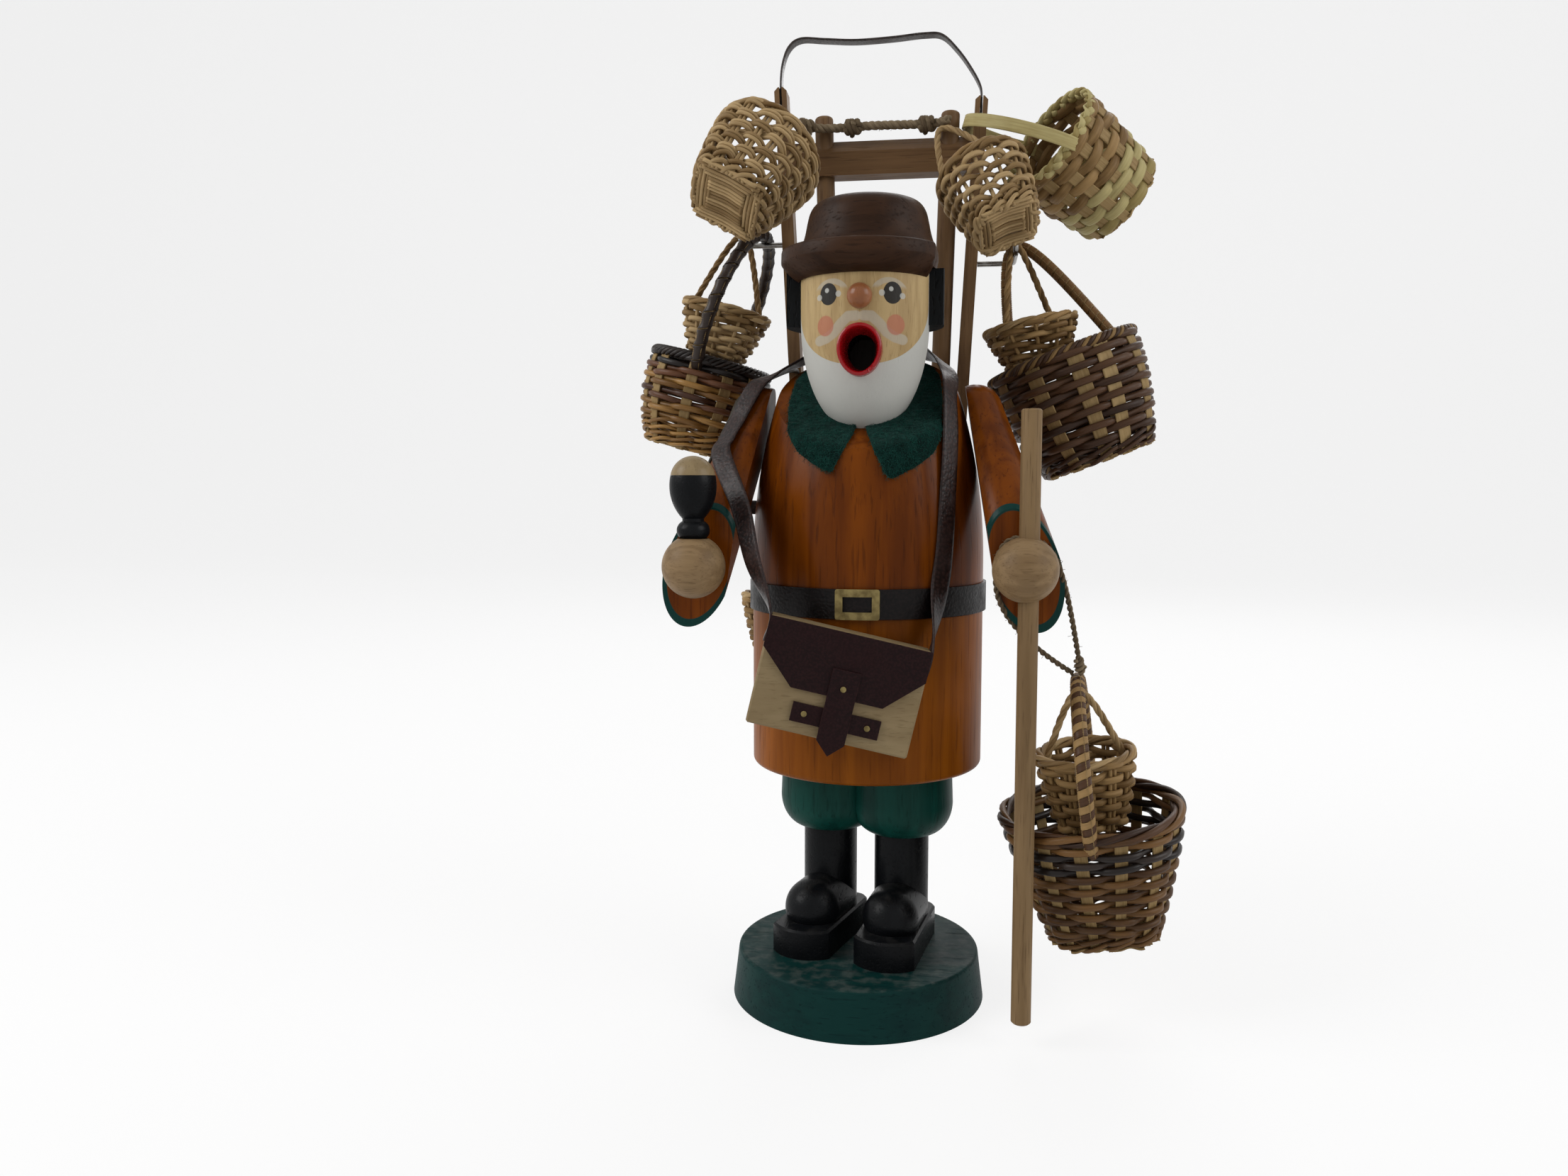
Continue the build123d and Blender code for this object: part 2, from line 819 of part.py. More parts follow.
with BuildPart() as felt_collar:
    add(coat_form(collar_thickness))
    add(coat_form(glue_gap), mode=Mode.SUBTRACT)
    add(head_form(loose_gap), mode=Mode.SUBTRACT)
    with BuildSketch(neck_plane(-coat_radius)):
        with BuildLine():
            for mirror_x in (1, -1):
                tip = (mirror_x * collar_tip_spread, -collar_tip_drop)
                lobe = (mirror_x * collar_lobe_x, -collar_lobe_drop)
                flank = (mirror_x * collar_half_width, collar_side_rise)
                notch = (mirror_x * collar_notch_half, 0)
                Line((0, 0), notch)
                Line(notch, tip)
                ThreePointArc(
                    tip,
                    (mirror_x * (collar_tip_spread + collar_lobe_x) / 2, -collar_tip_drop * 0.78),
                    lobe,
                )
                ThreePointArc(
                    lobe,
                    (mirror_x * (collar_lobe_x + collar_half_width * 1.6) / 2.6, collar_side_rise / 3),
                    flank,
                )
                Line(flank, (mirror_x * collar_half_width * 0.7, collar_back_rise))
                Line((mirror_x * collar_half_width * 0.7, collar_back_rise), (0, collar_back_rise))
        make_face()
    extrude(amount=2 * coat_radius, mode=Mode.INTERSECT)
save(felt_collar, "felt_collar")

# Upper figure: arms and hands

cuff_centre = Vector(cuff_x, -cuff_ahead, hand_z)
shoulder_centre = Vector(arm_shoulder_x, 0, seam_z + arm_shoulder_height)
arm_length = (cuff_centre - shoulder_centre).length


def arm_axis(side):
    """Shoulder point, direction and outward side of an arm's axis."""
    shoulder = Vector(side * shoulder_centre.X, shoulder_centre.Y, shoulder_centre.Z)
    cuff = Vector(side * cuff_centre.X, cuff_centre.Y, cuff_centre.Z)
    direction = unit(cuff - shoulder)
    outward = Vector(side, 0, 0)
    outward = unit(outward - direction * outward.dot(direction))
    return shoulder, direction, outward


def arm_radius_at(along):
    """Radius of an arm at a distance from the shoulder."""
    return arm_shoulder_radius + (arm_cuff_radius - arm_shoulder_radius) * along / arm_length


for side_name, side in SIDES:
    shoulder, direction, outward = arm_axis(side)
    flat_x = coat_radius_at(arm_flat_z) + glue_gap
    flat_normal = (side * math.cos(arm_flat_lean), 0, math.sin(arm_flat_lean))
    flat_plane = Plane(origin=(side * flat_x, 0, arm_flat_z), z_dir=flat_normal)
    arm_overrun = arm_length + 2 * arm_cuff_radius
    with BuildPart() as arm:
        with BuildSketch(Plane(origin=shoulder, x_dir=outward, z_dir=outward.cross(direction))):
            with BuildLine():
                CenterArc((0, 0), arm_shoulder_radius, 270, 90)
                Polyline(
                    (arm_shoulder_radius, 0),
                    (arm_radius_at(arm_overrun), arm_overrun),
                    (0, arm_overrun),
                    (0, -arm_shoulder_radius),
                )
            make_face()
        revolve(axis=Axis(shoulder, direction))
        split(bisect_by=Plane(origin=(0, -cuff_ahead, 0), z_dir=(0, 1, 0)), keep=Keep.TOP)
        split(bisect_by=flat_plane, keep=Keep.TOP)
        with BuildSketch(Plane(origin=(side * cuff_x, -cuff_ahead, hand_z), z_dir=(0, 1, 0))):
            Circle(hand_tenon_radius + glue_gap)
        extrude(amount=hand_tenon_length + glue_gap, mode=Mode.SUBTRACT)
    save(arm, f"{side_name}_arm")

    with BuildPart() as hand:
        with Locations((side * cuff_x, hand_y, hand_z)):
            Sphere(hand_radius)
        split(bisect_by=Plane(origin=(0, -cuff_ahead - glue_gap, 0), z_dir=(0, -1, 0)), keep=Keep.TOP)
        with BuildSketch(Plane(origin=(side * cuff_x, hand_y, hand_z), z_dir=(0, 1, 0))):
            Circle(hand_tenon_radius)
        extrude(amount=hand_seat + hand_tenon_length)
        if side > 0:
            with Locations((side * (cuff_x + staff_offset), hand_y, hand_z)):
                Cylinder(staff_radius + glue_gap, 3 * hand_radius, mode=Mode.SUBTRACT)
        else:
            with Locations((side * cuff_x, hand_y, hand_z + hand_radius)):
                Cylinder(pipe_seat_radius, 2 * pipe_sink, mode=Mode.SUBTRACT)
                Cylinder(
                    pipe_peg_radius + glue_gap,
                    2 * (pipe_sink + pipe_peg_length + glue_gap),
                    mode=Mode.SUBTRACT,
                )
    save(hand, f"{side_name}_hand")

with BuildPart() as staff:
    with Locations((cuff_x + staff_offset, hand_y, hand_z - staff_below)):
        Cylinder(staff_radius, staff_below + staff_above, align=(Align.CENTER, Align.CENTER, Align.MIN))
    chamfer(staff.edges().filter_by(GeomType.CIRCLE), staff_chamfer)
save(staff, "staff")

# Upper figure: pipe

pipe_x = -cuff_x
pipe_z = hand_z + hand_radius - pipe_sink
pipe_bowl_top = pipe_bowl_foot + pipe_bowl_height
with BuildPart() as pipe:
    with BuildSketch(upright(pipe_x, hand_y, pipe_z)):
        with BuildLine():
            Polyline(
                (0, -pipe_peg_length),
                (pipe_peg_radius, -pipe_peg_length),
                (pipe_peg_radius, glue_gap),
                (pipe_waist_radius, glue_gap),
            )
            ThreePointArc(
                (pipe_waist_radius, glue_gap),
                (pipe_knob_radius, pipe_knob_height / 2),
                (pipe_waist_radius, pipe_knob_height),
            )
            Line((pipe_waist_radius, pipe_knob_height), (pipe_waist_radius, pipe_bowl_foot))
            ThreePointArc(
                (pipe_waist_radius, pipe_bowl_foot),
                (pipe_bowl_radius * 0.94, pipe_bowl_foot + pipe_bowl_height * 0.4),
                (pipe_bowl_radius, pipe_bowl_top),
            )
            Polyline((pipe_bowl_radius, pipe_bowl_top), (0, pipe_bowl_top), (0, -pipe_peg_length))
        make_face()
    revolve(axis=upright_axis(pipe_x, hand_y))
save(pipe, "pipe")

lid_dome_radius = (pipe_bowl_radius**2 + pipe_lid_height**2) / (2 * pipe_lid_height)
lid_dome_start = math.degrees(math.acos(pipe_bowl_radius / lid_dome_radius))
lid_dome_z = pipe_lid_height - lid_dome_radius
with BuildPart() as pipe_lid:
    with BuildSketch(upright(pipe_x, hand_y, pipe_z + pipe_bowl_top + glue_gap)):
        with BuildLine():
            CenterArc((0, lid_dome_z), lid_dome_radius, lid_dome_start, 90 - lid_dome_start)
            Polyline((0, pipe_lid_height), (0, 0), (pipe_bowl_radius, 0))
        make_face()
    revolve(axis=upright_axis(pipe_x, hand_y))
save(pipe_lid, "pipe_lid")

# Carrying frame: posts, rails and crossbars

splay = math.radians(rail_splay)


def rail_x(side, z):
    """Middle of a splayed rail at a height."""
    rise = z - seam_z - rail_bottom
    return rail_shift + side * (rail_spread / 2 + rise * math.tan(splay))


def post_plane(side):
    """Plane at the foot of a post, with local z up along its slightly splayed axis."""
    lean = side * math.radians(post_splay)
    drop = post_top - post_bottom
    foot_x = post_shift + side * post_spacing / 2 - drop * math.tan(lean)
    up = (math.sin(lean), 0, math.cos(lean))
    across = (math.cos(lean), 0, -math.sin(lean))
    return Plane(origin=(foot_x, frame_y, seam_z + post_bottom), x_dir=across, z_dir=up)


post_length = (post_top - post_bottom) / math.cos(math.radians(post_splay))

for side_name, side in SIDES:
    with BuildPart() as post:
        with BuildSketch(post_plane(side)):
            Circle(post_radius)
        extrude(amount=post_length)
        fillet(post.edges().sort_by(Axis.Z)[-1], post_dome)
    save(post, f"{side_name}_post")

    rail_top = left_rail_top if side > 0 else right_rail_top
    rail_length = (rail_top - rail_bottom) / math.cos(splay)
    rail_foot = (rail_x(side, seam_z + rail_bottom), frame_y, seam_z + rail_bottom)
    rail_up = (side * math.sin(splay), 0, math.cos(splay))
    rail_across = (math.cos(splay), 0, -side * math.sin(splay))
    with BuildPart() as rail:
        with BuildSketch(Plane(origin=rail_foot, x_dir=rail_across, z_dir=rail_up)):
            Rectangle(rail_width, rail_depth)
        extrude(amount=rail_length)
        chamfer(rail.faces().sort_by(Axis.Z)[-1].edges().filter_by(Axis.Y), rail_tip_chamfer)
        slit_foot = Vector(*rail_foot) + Vector(*rail_up) * (rail_length - rail_slit_depth)
        with BuildSketch(Plane(origin=slit_foot, x_dir=rail_across, z_dir=rail_up)):
            Rectangle(handle_thickness + 2 * glue_gap, 2 * rail_depth)
        extrude(amount=2 * rail_slit_depth, mode=Mode.SUBTRACT)
    save(rail, f"{side_name}_rail")


def crossbar_outline(bottom, top):
    """Corners of a bar fitted between the rails."""
    inset = rail_width / 2 / math.cos(splay) + glue_gap
    return (
        (rail_x(-1, bottom) + inset, bottom),
        (rail_x(1, bottom) - inset, bottom),
        (rail_x(1, top) - inset, top),
        (rail_x(-1, top) + inset, top),
    )


top_bar_low = seam_z + top_bar_bottom
top_bar_high = top_bar_low + top_bar_height
with BuildPart() as top_crossbar:
    with BuildSketch(Plane.XZ.offset(-frame_y)):
        Polygon(*crossbar_outline(top_bar_low, top_bar_high), align=None)
    extrude(amount=frame_bar_depth / 2, both=True)
    front_edge = top_crossbar.faces().sort_by(Axis.Z)[-1].edges().sort_by(Axis.Y)[0]
    chamfer(front_edge, top_bar_bevel)
    for _, side in SIDES:
        with BuildSketch(post_plane(side)):
            Circle(post_radius + glue_gap)
        extrude(amount=post_length, mode=Mode.SUBTRACT)
save(top_crossbar, "top_crossbar")

middle_bar_low = seam_z + middle_bar_bottom
with BuildPart() as middle_crossbar:
    with BuildSketch(Plane.XZ.offset(-frame_y)):
        Polygon(*crossbar_outline(middle_bar_low, middle_bar_low + middle_bar_height), align=None)
    extrude(amount=frame_bar_depth / 2, both=True)
    for _, side in SIDES:
        with BuildSketch(post_plane(side)):
            Circle(post_radius + glue_gap)
        extrude(amount=post_length, mode=Mode.SUBTRACT)
    with BuildSketch(Plane.XZ.offset(-frame_y)):
        with Locations((post_shift, middle_bar_z)):
            with GridLocations(bar_dowel_spacing, 0, 2, 1):
                Circle(bar_dowel_radius)
    extrude(amount=frame_bar_depth / 2 + bar_dowel_length)
save(middle_crossbar, "middle_crossbar")

# Carrying frame: leather handle between the rail tips

right_tip = Vector(rail_x(-1, seam_z + right_rail_top), seam_z + right_rail_top)
left_tip = Vector(rail_x(1, seam_z + left_rail_top), seam_z + left_rail_top)
handle_top_z = right_tip.Y + handle_rise - handle_bend / 2
slit_down = (rail_slit_depth - loose_gap) * math.cos(splay)
slit_in = (rail_slit_depth - loose_gap) * math.sin(splay)
tip_lift = handle_bend / 2
with BuildPart() as leather_handle:
    with BuildSketch(Plane.XZ.offset(-frame_y)):
        with BuildLine():
            FilletPolyline(
                (right_tip.X + slit_in, right_tip.Y - slit_down),
                (right_tip.X - tip_lift * math.tan(splay), right_tip.Y + tip_lift),
                (right_tip.X + handle_bend / 4, handle_top_z),
                (rail_shift - handle_bend, handle_top_z - handle_sag),
                (left_tip.X - 1.5 * handle_bend, handle_top_z - handle_sag / 3),
                (left_tip.X + tip_lift * math.tan(splay), left_tip.Y + tip_lift),
                (left_tip.X - slit_in, left_tip.Y - slit_down),
                radius=[3 * handle_bend, handle_bend, 6 * handle_bend, 1.3 * handle_bend, handle_bend],
            )
        trace(line_width=handle_thickness)
    extrude(amount=handle_width / 2, both=True)
save(leather_handle, "leather_handle")

# Wire hooks on the rails


def hook_root(side, height):
    """Point of a rail's outer face where a hook's wire enters."""
    z = seam_z + height
    return Vector(rail_x(side, z) + side * (rail_width / 2 / math.cos(splay) + glue_gap), frame_y, z)


right_hook_root = hook_root(-1, right_hook_height)
left_hook_root = hook_root(1, left_hook_height)
back_hook_root = hook_root(-1, back_hook_height)
right_seat = right_hook_root + Vector(-right_hook_reach, 0, 0)
left_seat = left_hook_root + Vector(left_hook_reach, -left_hook_ahead, 0)
back_seat = back_hook_root + Vector(-back_hook_reach, back_hook_behind, 0)
tip_up = Vector(0, 0, hook_tip + hook_bend)
right_small_seat = right_hook_root + Vector(-right_hook_corner, -right_hook_ahead, 0)
left_small_seat = left_hook_root + Vector(left_hook_reach, -left_small_hook_ahead, 0)
right_hook_bend = right_hook_root + Vector(-right_hook_corner, 0, 0)
right_hook_end = right_small_seat + Vector(0, -hook_past, 0)
left_hook_corner = left_hook_root + Vector(left_hook_reach, 0, 0)
left_hook_end = left_small_seat + Vector(0, -hook_past, 0)
back_hook_corner = back_hook_root + Vector(-back_hook_reach, 0, 0)
back_hook_end = back_seat + Vector(0, hook_past, 0)

with BuildPart() as basket_hooks:
    right_wire = (right_hook_root, right_hook_bend, right_hook_end, right_hook_end + tip_up)
    add(tube(right_wire, hook_bend, hook_radius).part)
    left_wire = (left_hook_root, left_hook_corner, left_hook_end, left_hook_end + tip_up)
    add(tube(left_wire, hook_bend, hook_radius).part)
    back_wire = (back_hook_root, back_hook_corner, back_hook_end, back_hook_end + tip_up)
    add(tube(back_wire, hook_bend, hook_radius).part)
save(basket_hooks, "basket_hooks")

# Shoulder bag: block and leather pieces on its front

bag_angle = math.radians(bag_yaw)
bag_drop_angle = math.radians(bag_tilt)
bag_normal = Vector(math.sin(bag_angle), -math.cos(bag_angle), 0)
bag_level = Vector(math.cos(bag_angle), math.sin(bag_angle), 0)
bag_along = bag_level * math.cos(bag_drop_angle) - Vector(0, 0, math.sin(bag_drop_angle))
bag_up = bag_level * math.sin(bag_drop_angle) + Vector(0, 0, math.cos(bag_drop_angle))
bag_front = coat_radius + loose_gap + bag_depth
bag_y = -(bag_front - bag_normal.X * bag_x) / math.cos(bag_angle)
bag_centre = Vector(bag_x, bag_y, seam_z - bag_drop)


def bag_plane(proud):
    """Front face of the bag, moved outward; local x along its top edge."""
    return Plane(origin=bag_centre + bag_normal * proud, x_dir=bag_along, z_dir=bag_normal)


with BuildPart() as bag_block:
    with BuildSketch(bag_plane(0)):
        Rectangle(bag_width, bag_height)
    extrude(amount=-bag_depth)
    chamfer(bag_block.edges(), bag_edge)
save(bag_block, "bag_block")

half_width = bag_width / 2
half_height = bag_height / 2
with BuildPart() as bag_flap:
    with BuildSketch(bag_plane(glue_gap)):
        Polygon(
            (-half_width, half_height),
            (-half_width, half_height - flap_side),
            (-half_width + flap_corner, half_height - flap_drop),
            (half_width - flap_corner, half_height - flap_drop),
            (half_width, half_height - flap_side),
            (half_width, half_height),
            align=None,
        )
    extrude(amount=leather_thickness)
save(bag_flap, "bag_flap")

with BuildPart() as bag_cross_strap:
    with BuildSketch(bag_plane(glue_gap)):
        with Locations((tongue_shift, -cross_drop)):
            Rectangle(cross_length, cross_width)
    extrude(amount=leather_thickness)
save(bag_cross_strap, "bag_cross_strap")

tongue_proud = 2 * glue_gap + leather_thickness
with BuildPart() as bag_tongue:
    with BuildSketch(bag_plane(tongue_proud)):
        Polygon(
            (tongue_shift - tongue_width / 2, tongue_top),
            (tongue_shift - tongue_width / 2, -tongue_bottom),
            (tongue_shift, -tongue_bottom - tongue_point),
            (tongue_shift + tongue_width / 2, -tongue_bottom),
            (tongue_shift + tongue_width / 2, tongue_top),
            align=None,
        )
    extrude(amount=leather_thickness)
save(bag_tongue, "bag_tongue")

with BuildPart() as bag_studs:
    with BuildSketch(bag_plane(2 * tongue_proud)):
        with Locations((tongue_shift, 0)):
            Circle(stud_radius)
    extrude(amount=stud_height)
    with BuildSketch(bag_plane(tongue_proud)):
        with Locations((tongue_shift, -cross_drop)):
            with GridLocations(stud_spacing, 0, 2, 1):
                Circle(stud_radius)
    extrude(amount=stud_height)
save(bag_studs, "bag_studs")

# Shoulder bag: strap over the chest, the left shoulder, the neck and the right arm


def on_coat(x, z, clear):
    """Station on the front of the coat: point at a clearance and outward normal."""
    reach = coat_radius_at(z) + clear
    y = -math.sqrt(reach**2 - x**2)
    slope = (coat_radius_at(z - 1) - coat_radius_at(z + 1)) / 2
    normal = unit(Vector(x / reach, y / reach, slope))
    return (x, y, z), (normal.X, normal.Y, normal.Z)


def on_right_arm(along, angle, clear):
    """Station on the right arm: along its axis, angle from its outer side to its front."""
    shoulder, direction, outward = arm_axis(-1)
    front = outward.cross(direction)
    if front.Y > 0:
        front = front * -1
    turned = math.radians(angle)
    normal = outward * math.cos(turned) + front * math.sin(turned)
    point = shoulder + direction * along + normal * (arm_radius_at(along) + clear)
    return (point.X, point.Y, point.Z), (normal.X, normal.Y, normal.Z)


def on_right_shoulder(heading, clear):
    """Station on the ball end of the right arm."""
    normal = unit(Vector(*heading))
    point = arm_axis(-1)[0] + normal * (arm_shoulder_radius + clear)
    return (point.X, point.Y, point.Z), (normal.X, normal.Y, normal.Z)


def on_bag_end(side, up):
    """Station on an end of the bag block, measured up from its middle."""
    middle = bag_centre - bag_normal * (bag_depth / 2)
    point = middle + bag_along * (side * (half_width + glue_gap)) + bag_up * up
    normal = bag_along * side
    return (point.X, point.Y, point.Z), (normal.X, normal.Y, normal.Z)


shoulder_z = shoulder_centre.Z + arm_shoulder_radius
strap_shoulder_z = coat_taper_top + strap_shoulder_rise
neck_back_z = coat_taper_top + strap_neck_rise
strap_clear = 2 * loose_gap
belt_clear = belt_outer - coat_radius + loose_gap
strap_stations = [
    on_bag_end(1, half_height / 2),
    on_bag_end(1, half_height),
    on_coat(strap_x - 2.2, seam_z + belt_width, belt_clear),
    on_coat(strap_x - 0.8, seam_z + coat_straight_height + 6, strap_clear),
    on_coat(strap_x, seam_z + 40, strap_clear),
    on_coat(strap_x + 0.6, seam_z + 58, strap_clear + collar_thickness),
    on_coat(strap_x + 0.2, coat_taper_top + 1, strap_clear + collar_thickness),
    ((strap_x - 0.4, -5.5, strap_shoulder_z + 3.4), (0.55, -0.5, 0.67)),
    ((strap_x - 4, 6, strap_shoulder_z + 9), (0.5, 0.2, 0.84)),
    ((strap_x - 12, 19, neck_back_z - 4), (0.45, 0.75, 0.5)),
    ((0, 24.5, neck_back_z), (0, 0.97, 0.25)),
    ((12 - strap_x, 19, neck_back_z - 3), (-0.45, 0.75, 0.5)),
    ((3 - strap_x, 8, strap_shoulder_z + 9), (-0.5, 0.2, 0.84)),
    ((-32.5, 2.5, strap_shoulder_z + 4.6), (-0.35, -0.1, 0.93)),
    on_right_shoulder((-0.1, -0.5, 0.86), 2 * strap_clear + carry_thickness),
    on_right_arm(5.0, 72, strap_clear + carry_thickness),
    on_right_arm(12.0, 66, strap_clear + loose_gap),
    on_right_arm(20.0, 64, strap_clear + 2 * loose_gap),
    on_right_arm(28.0, 72, 2 * strap_clear + 2 * loose_gap),
    ((-37.2, -38.2, seam_z + 35), (-0.35, -0.93, 0.1)),
    ((-32.0, -46.5, seam_z + 19), (-0.65, -0.75, 0.1)),
    on_bag_end(-1, half_height),
    on_bag_end(-1, half_height / 2),
]
bag_shoulder_strap = ribbon(strap_stations, strap_width, strap_thickness)
save(bag_shoulder_strap, "bag_shoulder_strap")

# Carrying strap: from the right rail over the shoulder, round the arm and back to the rail

carry_high_z = shoulder_z + 9
carry_low_z = seam_z + 34
carry_stations = [
    ((rail_x(-1, carry_high_z) - 0.6, frame_y - rail_depth / 2 - glue_gap, carry_high_z), (0, -1, 0.15)),
    ((rail_x(-1, carry_high_z) - 1.5, frame_y - 14, carry_high_z - 1), (-0.2, -0.1, 0.97)),
    ((-37.5, 8, shoulder_z + 2.2), (-0.35, 0.3, 0.88)),
    on_right_arm(-1.0, 40, strap_clear),
    on_right_arm(9.0, 22, strap_clear),
    on_right_arm(20.0, 4, strap_clear),
    on_right_arm(27.0, -22, strap_clear),
    ((-46.5, 8, carry_low_z + 1), (-0.85, 0.5, 0)),
    ((rail_x(-1, carry_low_z) - 6.5, frame_y - 10, carry_low_z), (-0.9, 0.4, 0)),
    ((rail_x(-1, carry_low_z) - rail_width / 2 - 0.4, frame_y + 1, carry_low_z), (-1, 0.1, 0)),
]
carry_strap = ribbon(carry_stations, carry_width, carry_thickness)
save(carry_strap, "carry_strap")

# Baskets


def tilted(origin, up, across):
    """Plane at a basket's foot: local z along up, local x close to across."""
    up = unit(Vector(*up))
    across = Vector(*across)
    across = unit(across - up * across.dot(up))
    return Plane(origin=origin, x_dir=across, z_dir=up)


def basket_body(foot, rim_radius, foot_radius, height, bulge):
    """Closed wicker shell: bellied wall, floor and rolled rim, open at the mouth."""
    belly = (rim_radius + foot_radius) / 2 + bulge
    profile = Plane(origin=foot.origin, x_dir=foot.x_dir, z_dir=foot.y_dir * -1)
    with BuildPart() as body:
        with BuildSketch(profile):
            with BuildLine():
                Line((0, 0), (foot_radius, 0))
                ThreePointArc((foot_radius, 0), (belly, height / 2), (rim_radius, height))
                Line((rim_radius, height), (rim_radius - wicker_wall, height))
                ThreePointArc(
                    (rim_radius - wicker_wall, height),
                    (belly - wicker_wall, height / 2),
                    (foot_radius - wicker_wall, wicker_wall),
                )
                Polyline((foot_radius - wicker_wall, wicker_wall), (0, wicker_wall), (0, 0))
            make_face()
            with Locations((rim_radius - wicker_wall / 2, height - wicker_rim_radius)):
                Circle(wicker_rim_radius)
        revolve(axis=Axis(foot.origin, foot.z_dir))
    return body.part


def arch(start, top, end, rod):
    """Round rod bent in one arc through three points."""
    with BuildPart() as rod_solid:
        with BuildLine() as path:
            ThreePointArc(start, top, end)
        with BuildSketch(Plane(origin=path.line @ 0, z_dir=path.line % 0)):
            Circle(rod)
        sweep(path=path.line)
    return rod_solid.part


def bow(start, top, end, rod, bend):
    """Round rod bent over at the top: two straight legs and a rounded crown that passes the top."""
    corner = top
    for _ in range(20):
        left_leg = unit(start - corner)
        right_leg = unit(end - corner)
        middle = unit(left_leg + right_leg)
        half_angle = math.acos(left_leg.dot(middle))
        corner = top - middle * (bend * (1 / math.sin(half_angle) - 1))
    return tube((start, corner, end), bend, rod).part


def rim_frame(rim, lean, nod=0.0):
    """Plane at a basket's rim, leaning in the X-Z plane and nodding to the front."""
    lean_angle = math.radians(lean)
    nod_angle = math.radians(nod)
    up = (math.sin(lean_angle), -math.sin(nod_angle), math.cos(lean_angle))
    return tilted(rim, up, (1, 0, 0))


def foot_frame(rim_plane, height):
    """Plane at the foot below a rim plane."""
    return Plane(
        origin=rim_plane.origin - rim_plane.z_dir * height,
        x_dir=rim_plane.x_dir,
        z_dir=rim_plane.z_dir,
    )


def leg_points(rim_plane, rim_radius, rod, twist):
    """Where the two legs of a handle stand inside a rim, at a turn about the basket's axis."""
    angle = math.radians(twist)
    along = rim_plane.x_dir * math.cos(angle) + rim_plane.y_dir * math.sin(angle)
    reach = rim_radius - wicker_wall - rod + leg_bite
    middle = rim_plane.origin - rim_plane.z_dir * leg_depth
    return middle - along * reach, middle + along * reach


# The baskets on the hooks

hang_wrapped = wrapped_rod_radius + hook_radius + loose_gap
hang_rod = rod_radius + hook_radius + loose_gap

right_rim = rim_frame(right_seat + Vector(-right_basket_out, 0, -right_basket_drop), right_basket_lean)
right_legs = leg_points(right_rim, right_basket_rim_radius, wrapped_rod_radius, right_basket_twist)
right_top = right_seat + Vector(0, 0, hang_wrapped)
right_path = (right_legs[0], right_top, right_legs[1])
with BuildPart() as right_basket:
    add(
        basket_body(
            foot_frame(right_rim, right_basket_height),
            right_basket_rim_radius,
            right_basket_foot_radius,
            right_basket_height,
            right_basket_bulge,
        )
    )
    add(arch(*right_path, wrapped_rod_radius + glue_gap), mode=Mode.SUBTRACT)
save(right_basket, "right_basket")

with BuildPart() as right_basket_handle:
    add(arch(*right_path, wrapped_rod_radius))
save(right_basket_handle, "right_basket_handle")

right_small_top = right_small_seat + Vector(0, 0, hang_rod)
right_small_rim = rim_frame(
    right_small_seat + Vector(-right_small_out, 0, -right_small_drop), right_small_lean
)
right_small_legs = leg_points(right_small_rim, right_small_rim_radius, rod_radius, right_small_twist)
with BuildPart() as right_small_basket:
    add(
        basket_body(
            foot_frame(right_small_rim, right_small_height),
            right_small_rim_radius,
            right_small_foot_radius,
            right_small_height,
            right_small_bulge,
        )
    )
    add(bow(right_small_legs[0], right_small_top, right_small_legs[1], rod_radius, small_bend))
save(right_small_basket, "right_small_basket")

left_rim = rim_frame(left_seat + Vector(left_basket_out, 0, -left_basket_drop), left_basket_lean)
left_legs = leg_points(left_rim, left_basket_rim_radius, wrapped_rod_radius, left_basket_twist)
left_top = left_seat + Vector(0, 0, hang_wrapped + left_basket_ride)
left_path = (left_legs[0], left_top, left_legs[1])
with BuildPart() as left_basket:
    add(
        basket_body(
            foot_frame(left_rim, left_basket_height),
            left_basket_rim_radius,
            left_basket_foot_radius,
            left_basket_height,
            left_basket_bulge,
        )
    )
    add(bow(*left_path, wrapped_rod_radius + glue_gap, left_basket_bend), mode=Mode.SUBTRACT)
save(left_basket, "left_basket")

with BuildPart() as left_basket_handle:
    add(bow(*left_path, wrapped_rod_radius, left_basket_bend))
save(left_basket_handle, "left_basket_handle")

left_small_top = left_small_seat + Vector(0, 0, hang_rod + small_ride)
left_small_rim = rim_frame(
    left_small_seat + Vector(left_small_out, -left_small_ahead, -left_small_drop), left_small_lean
)
left_small_legs = leg_points(left_small_rim, left_small_rim_radius, rod_radius, left_small_twist)
with BuildPart() as left_small_basket:
    add(
        basket_body(
            foot_frame(left_small_rim, left_small_height),
            left_small_rim_radius,
            left_small_foot_radius,
            left_small_height,
            left_small_bulge,
        )
    )
    add(bow(left_small_legs[0], left_small_top, left_small_legs[1], rod_radius, small_bend))
save(left_small_basket, "left_small_basket")

# The basket tied to the wrist leans against the staff; its handle runs front to back

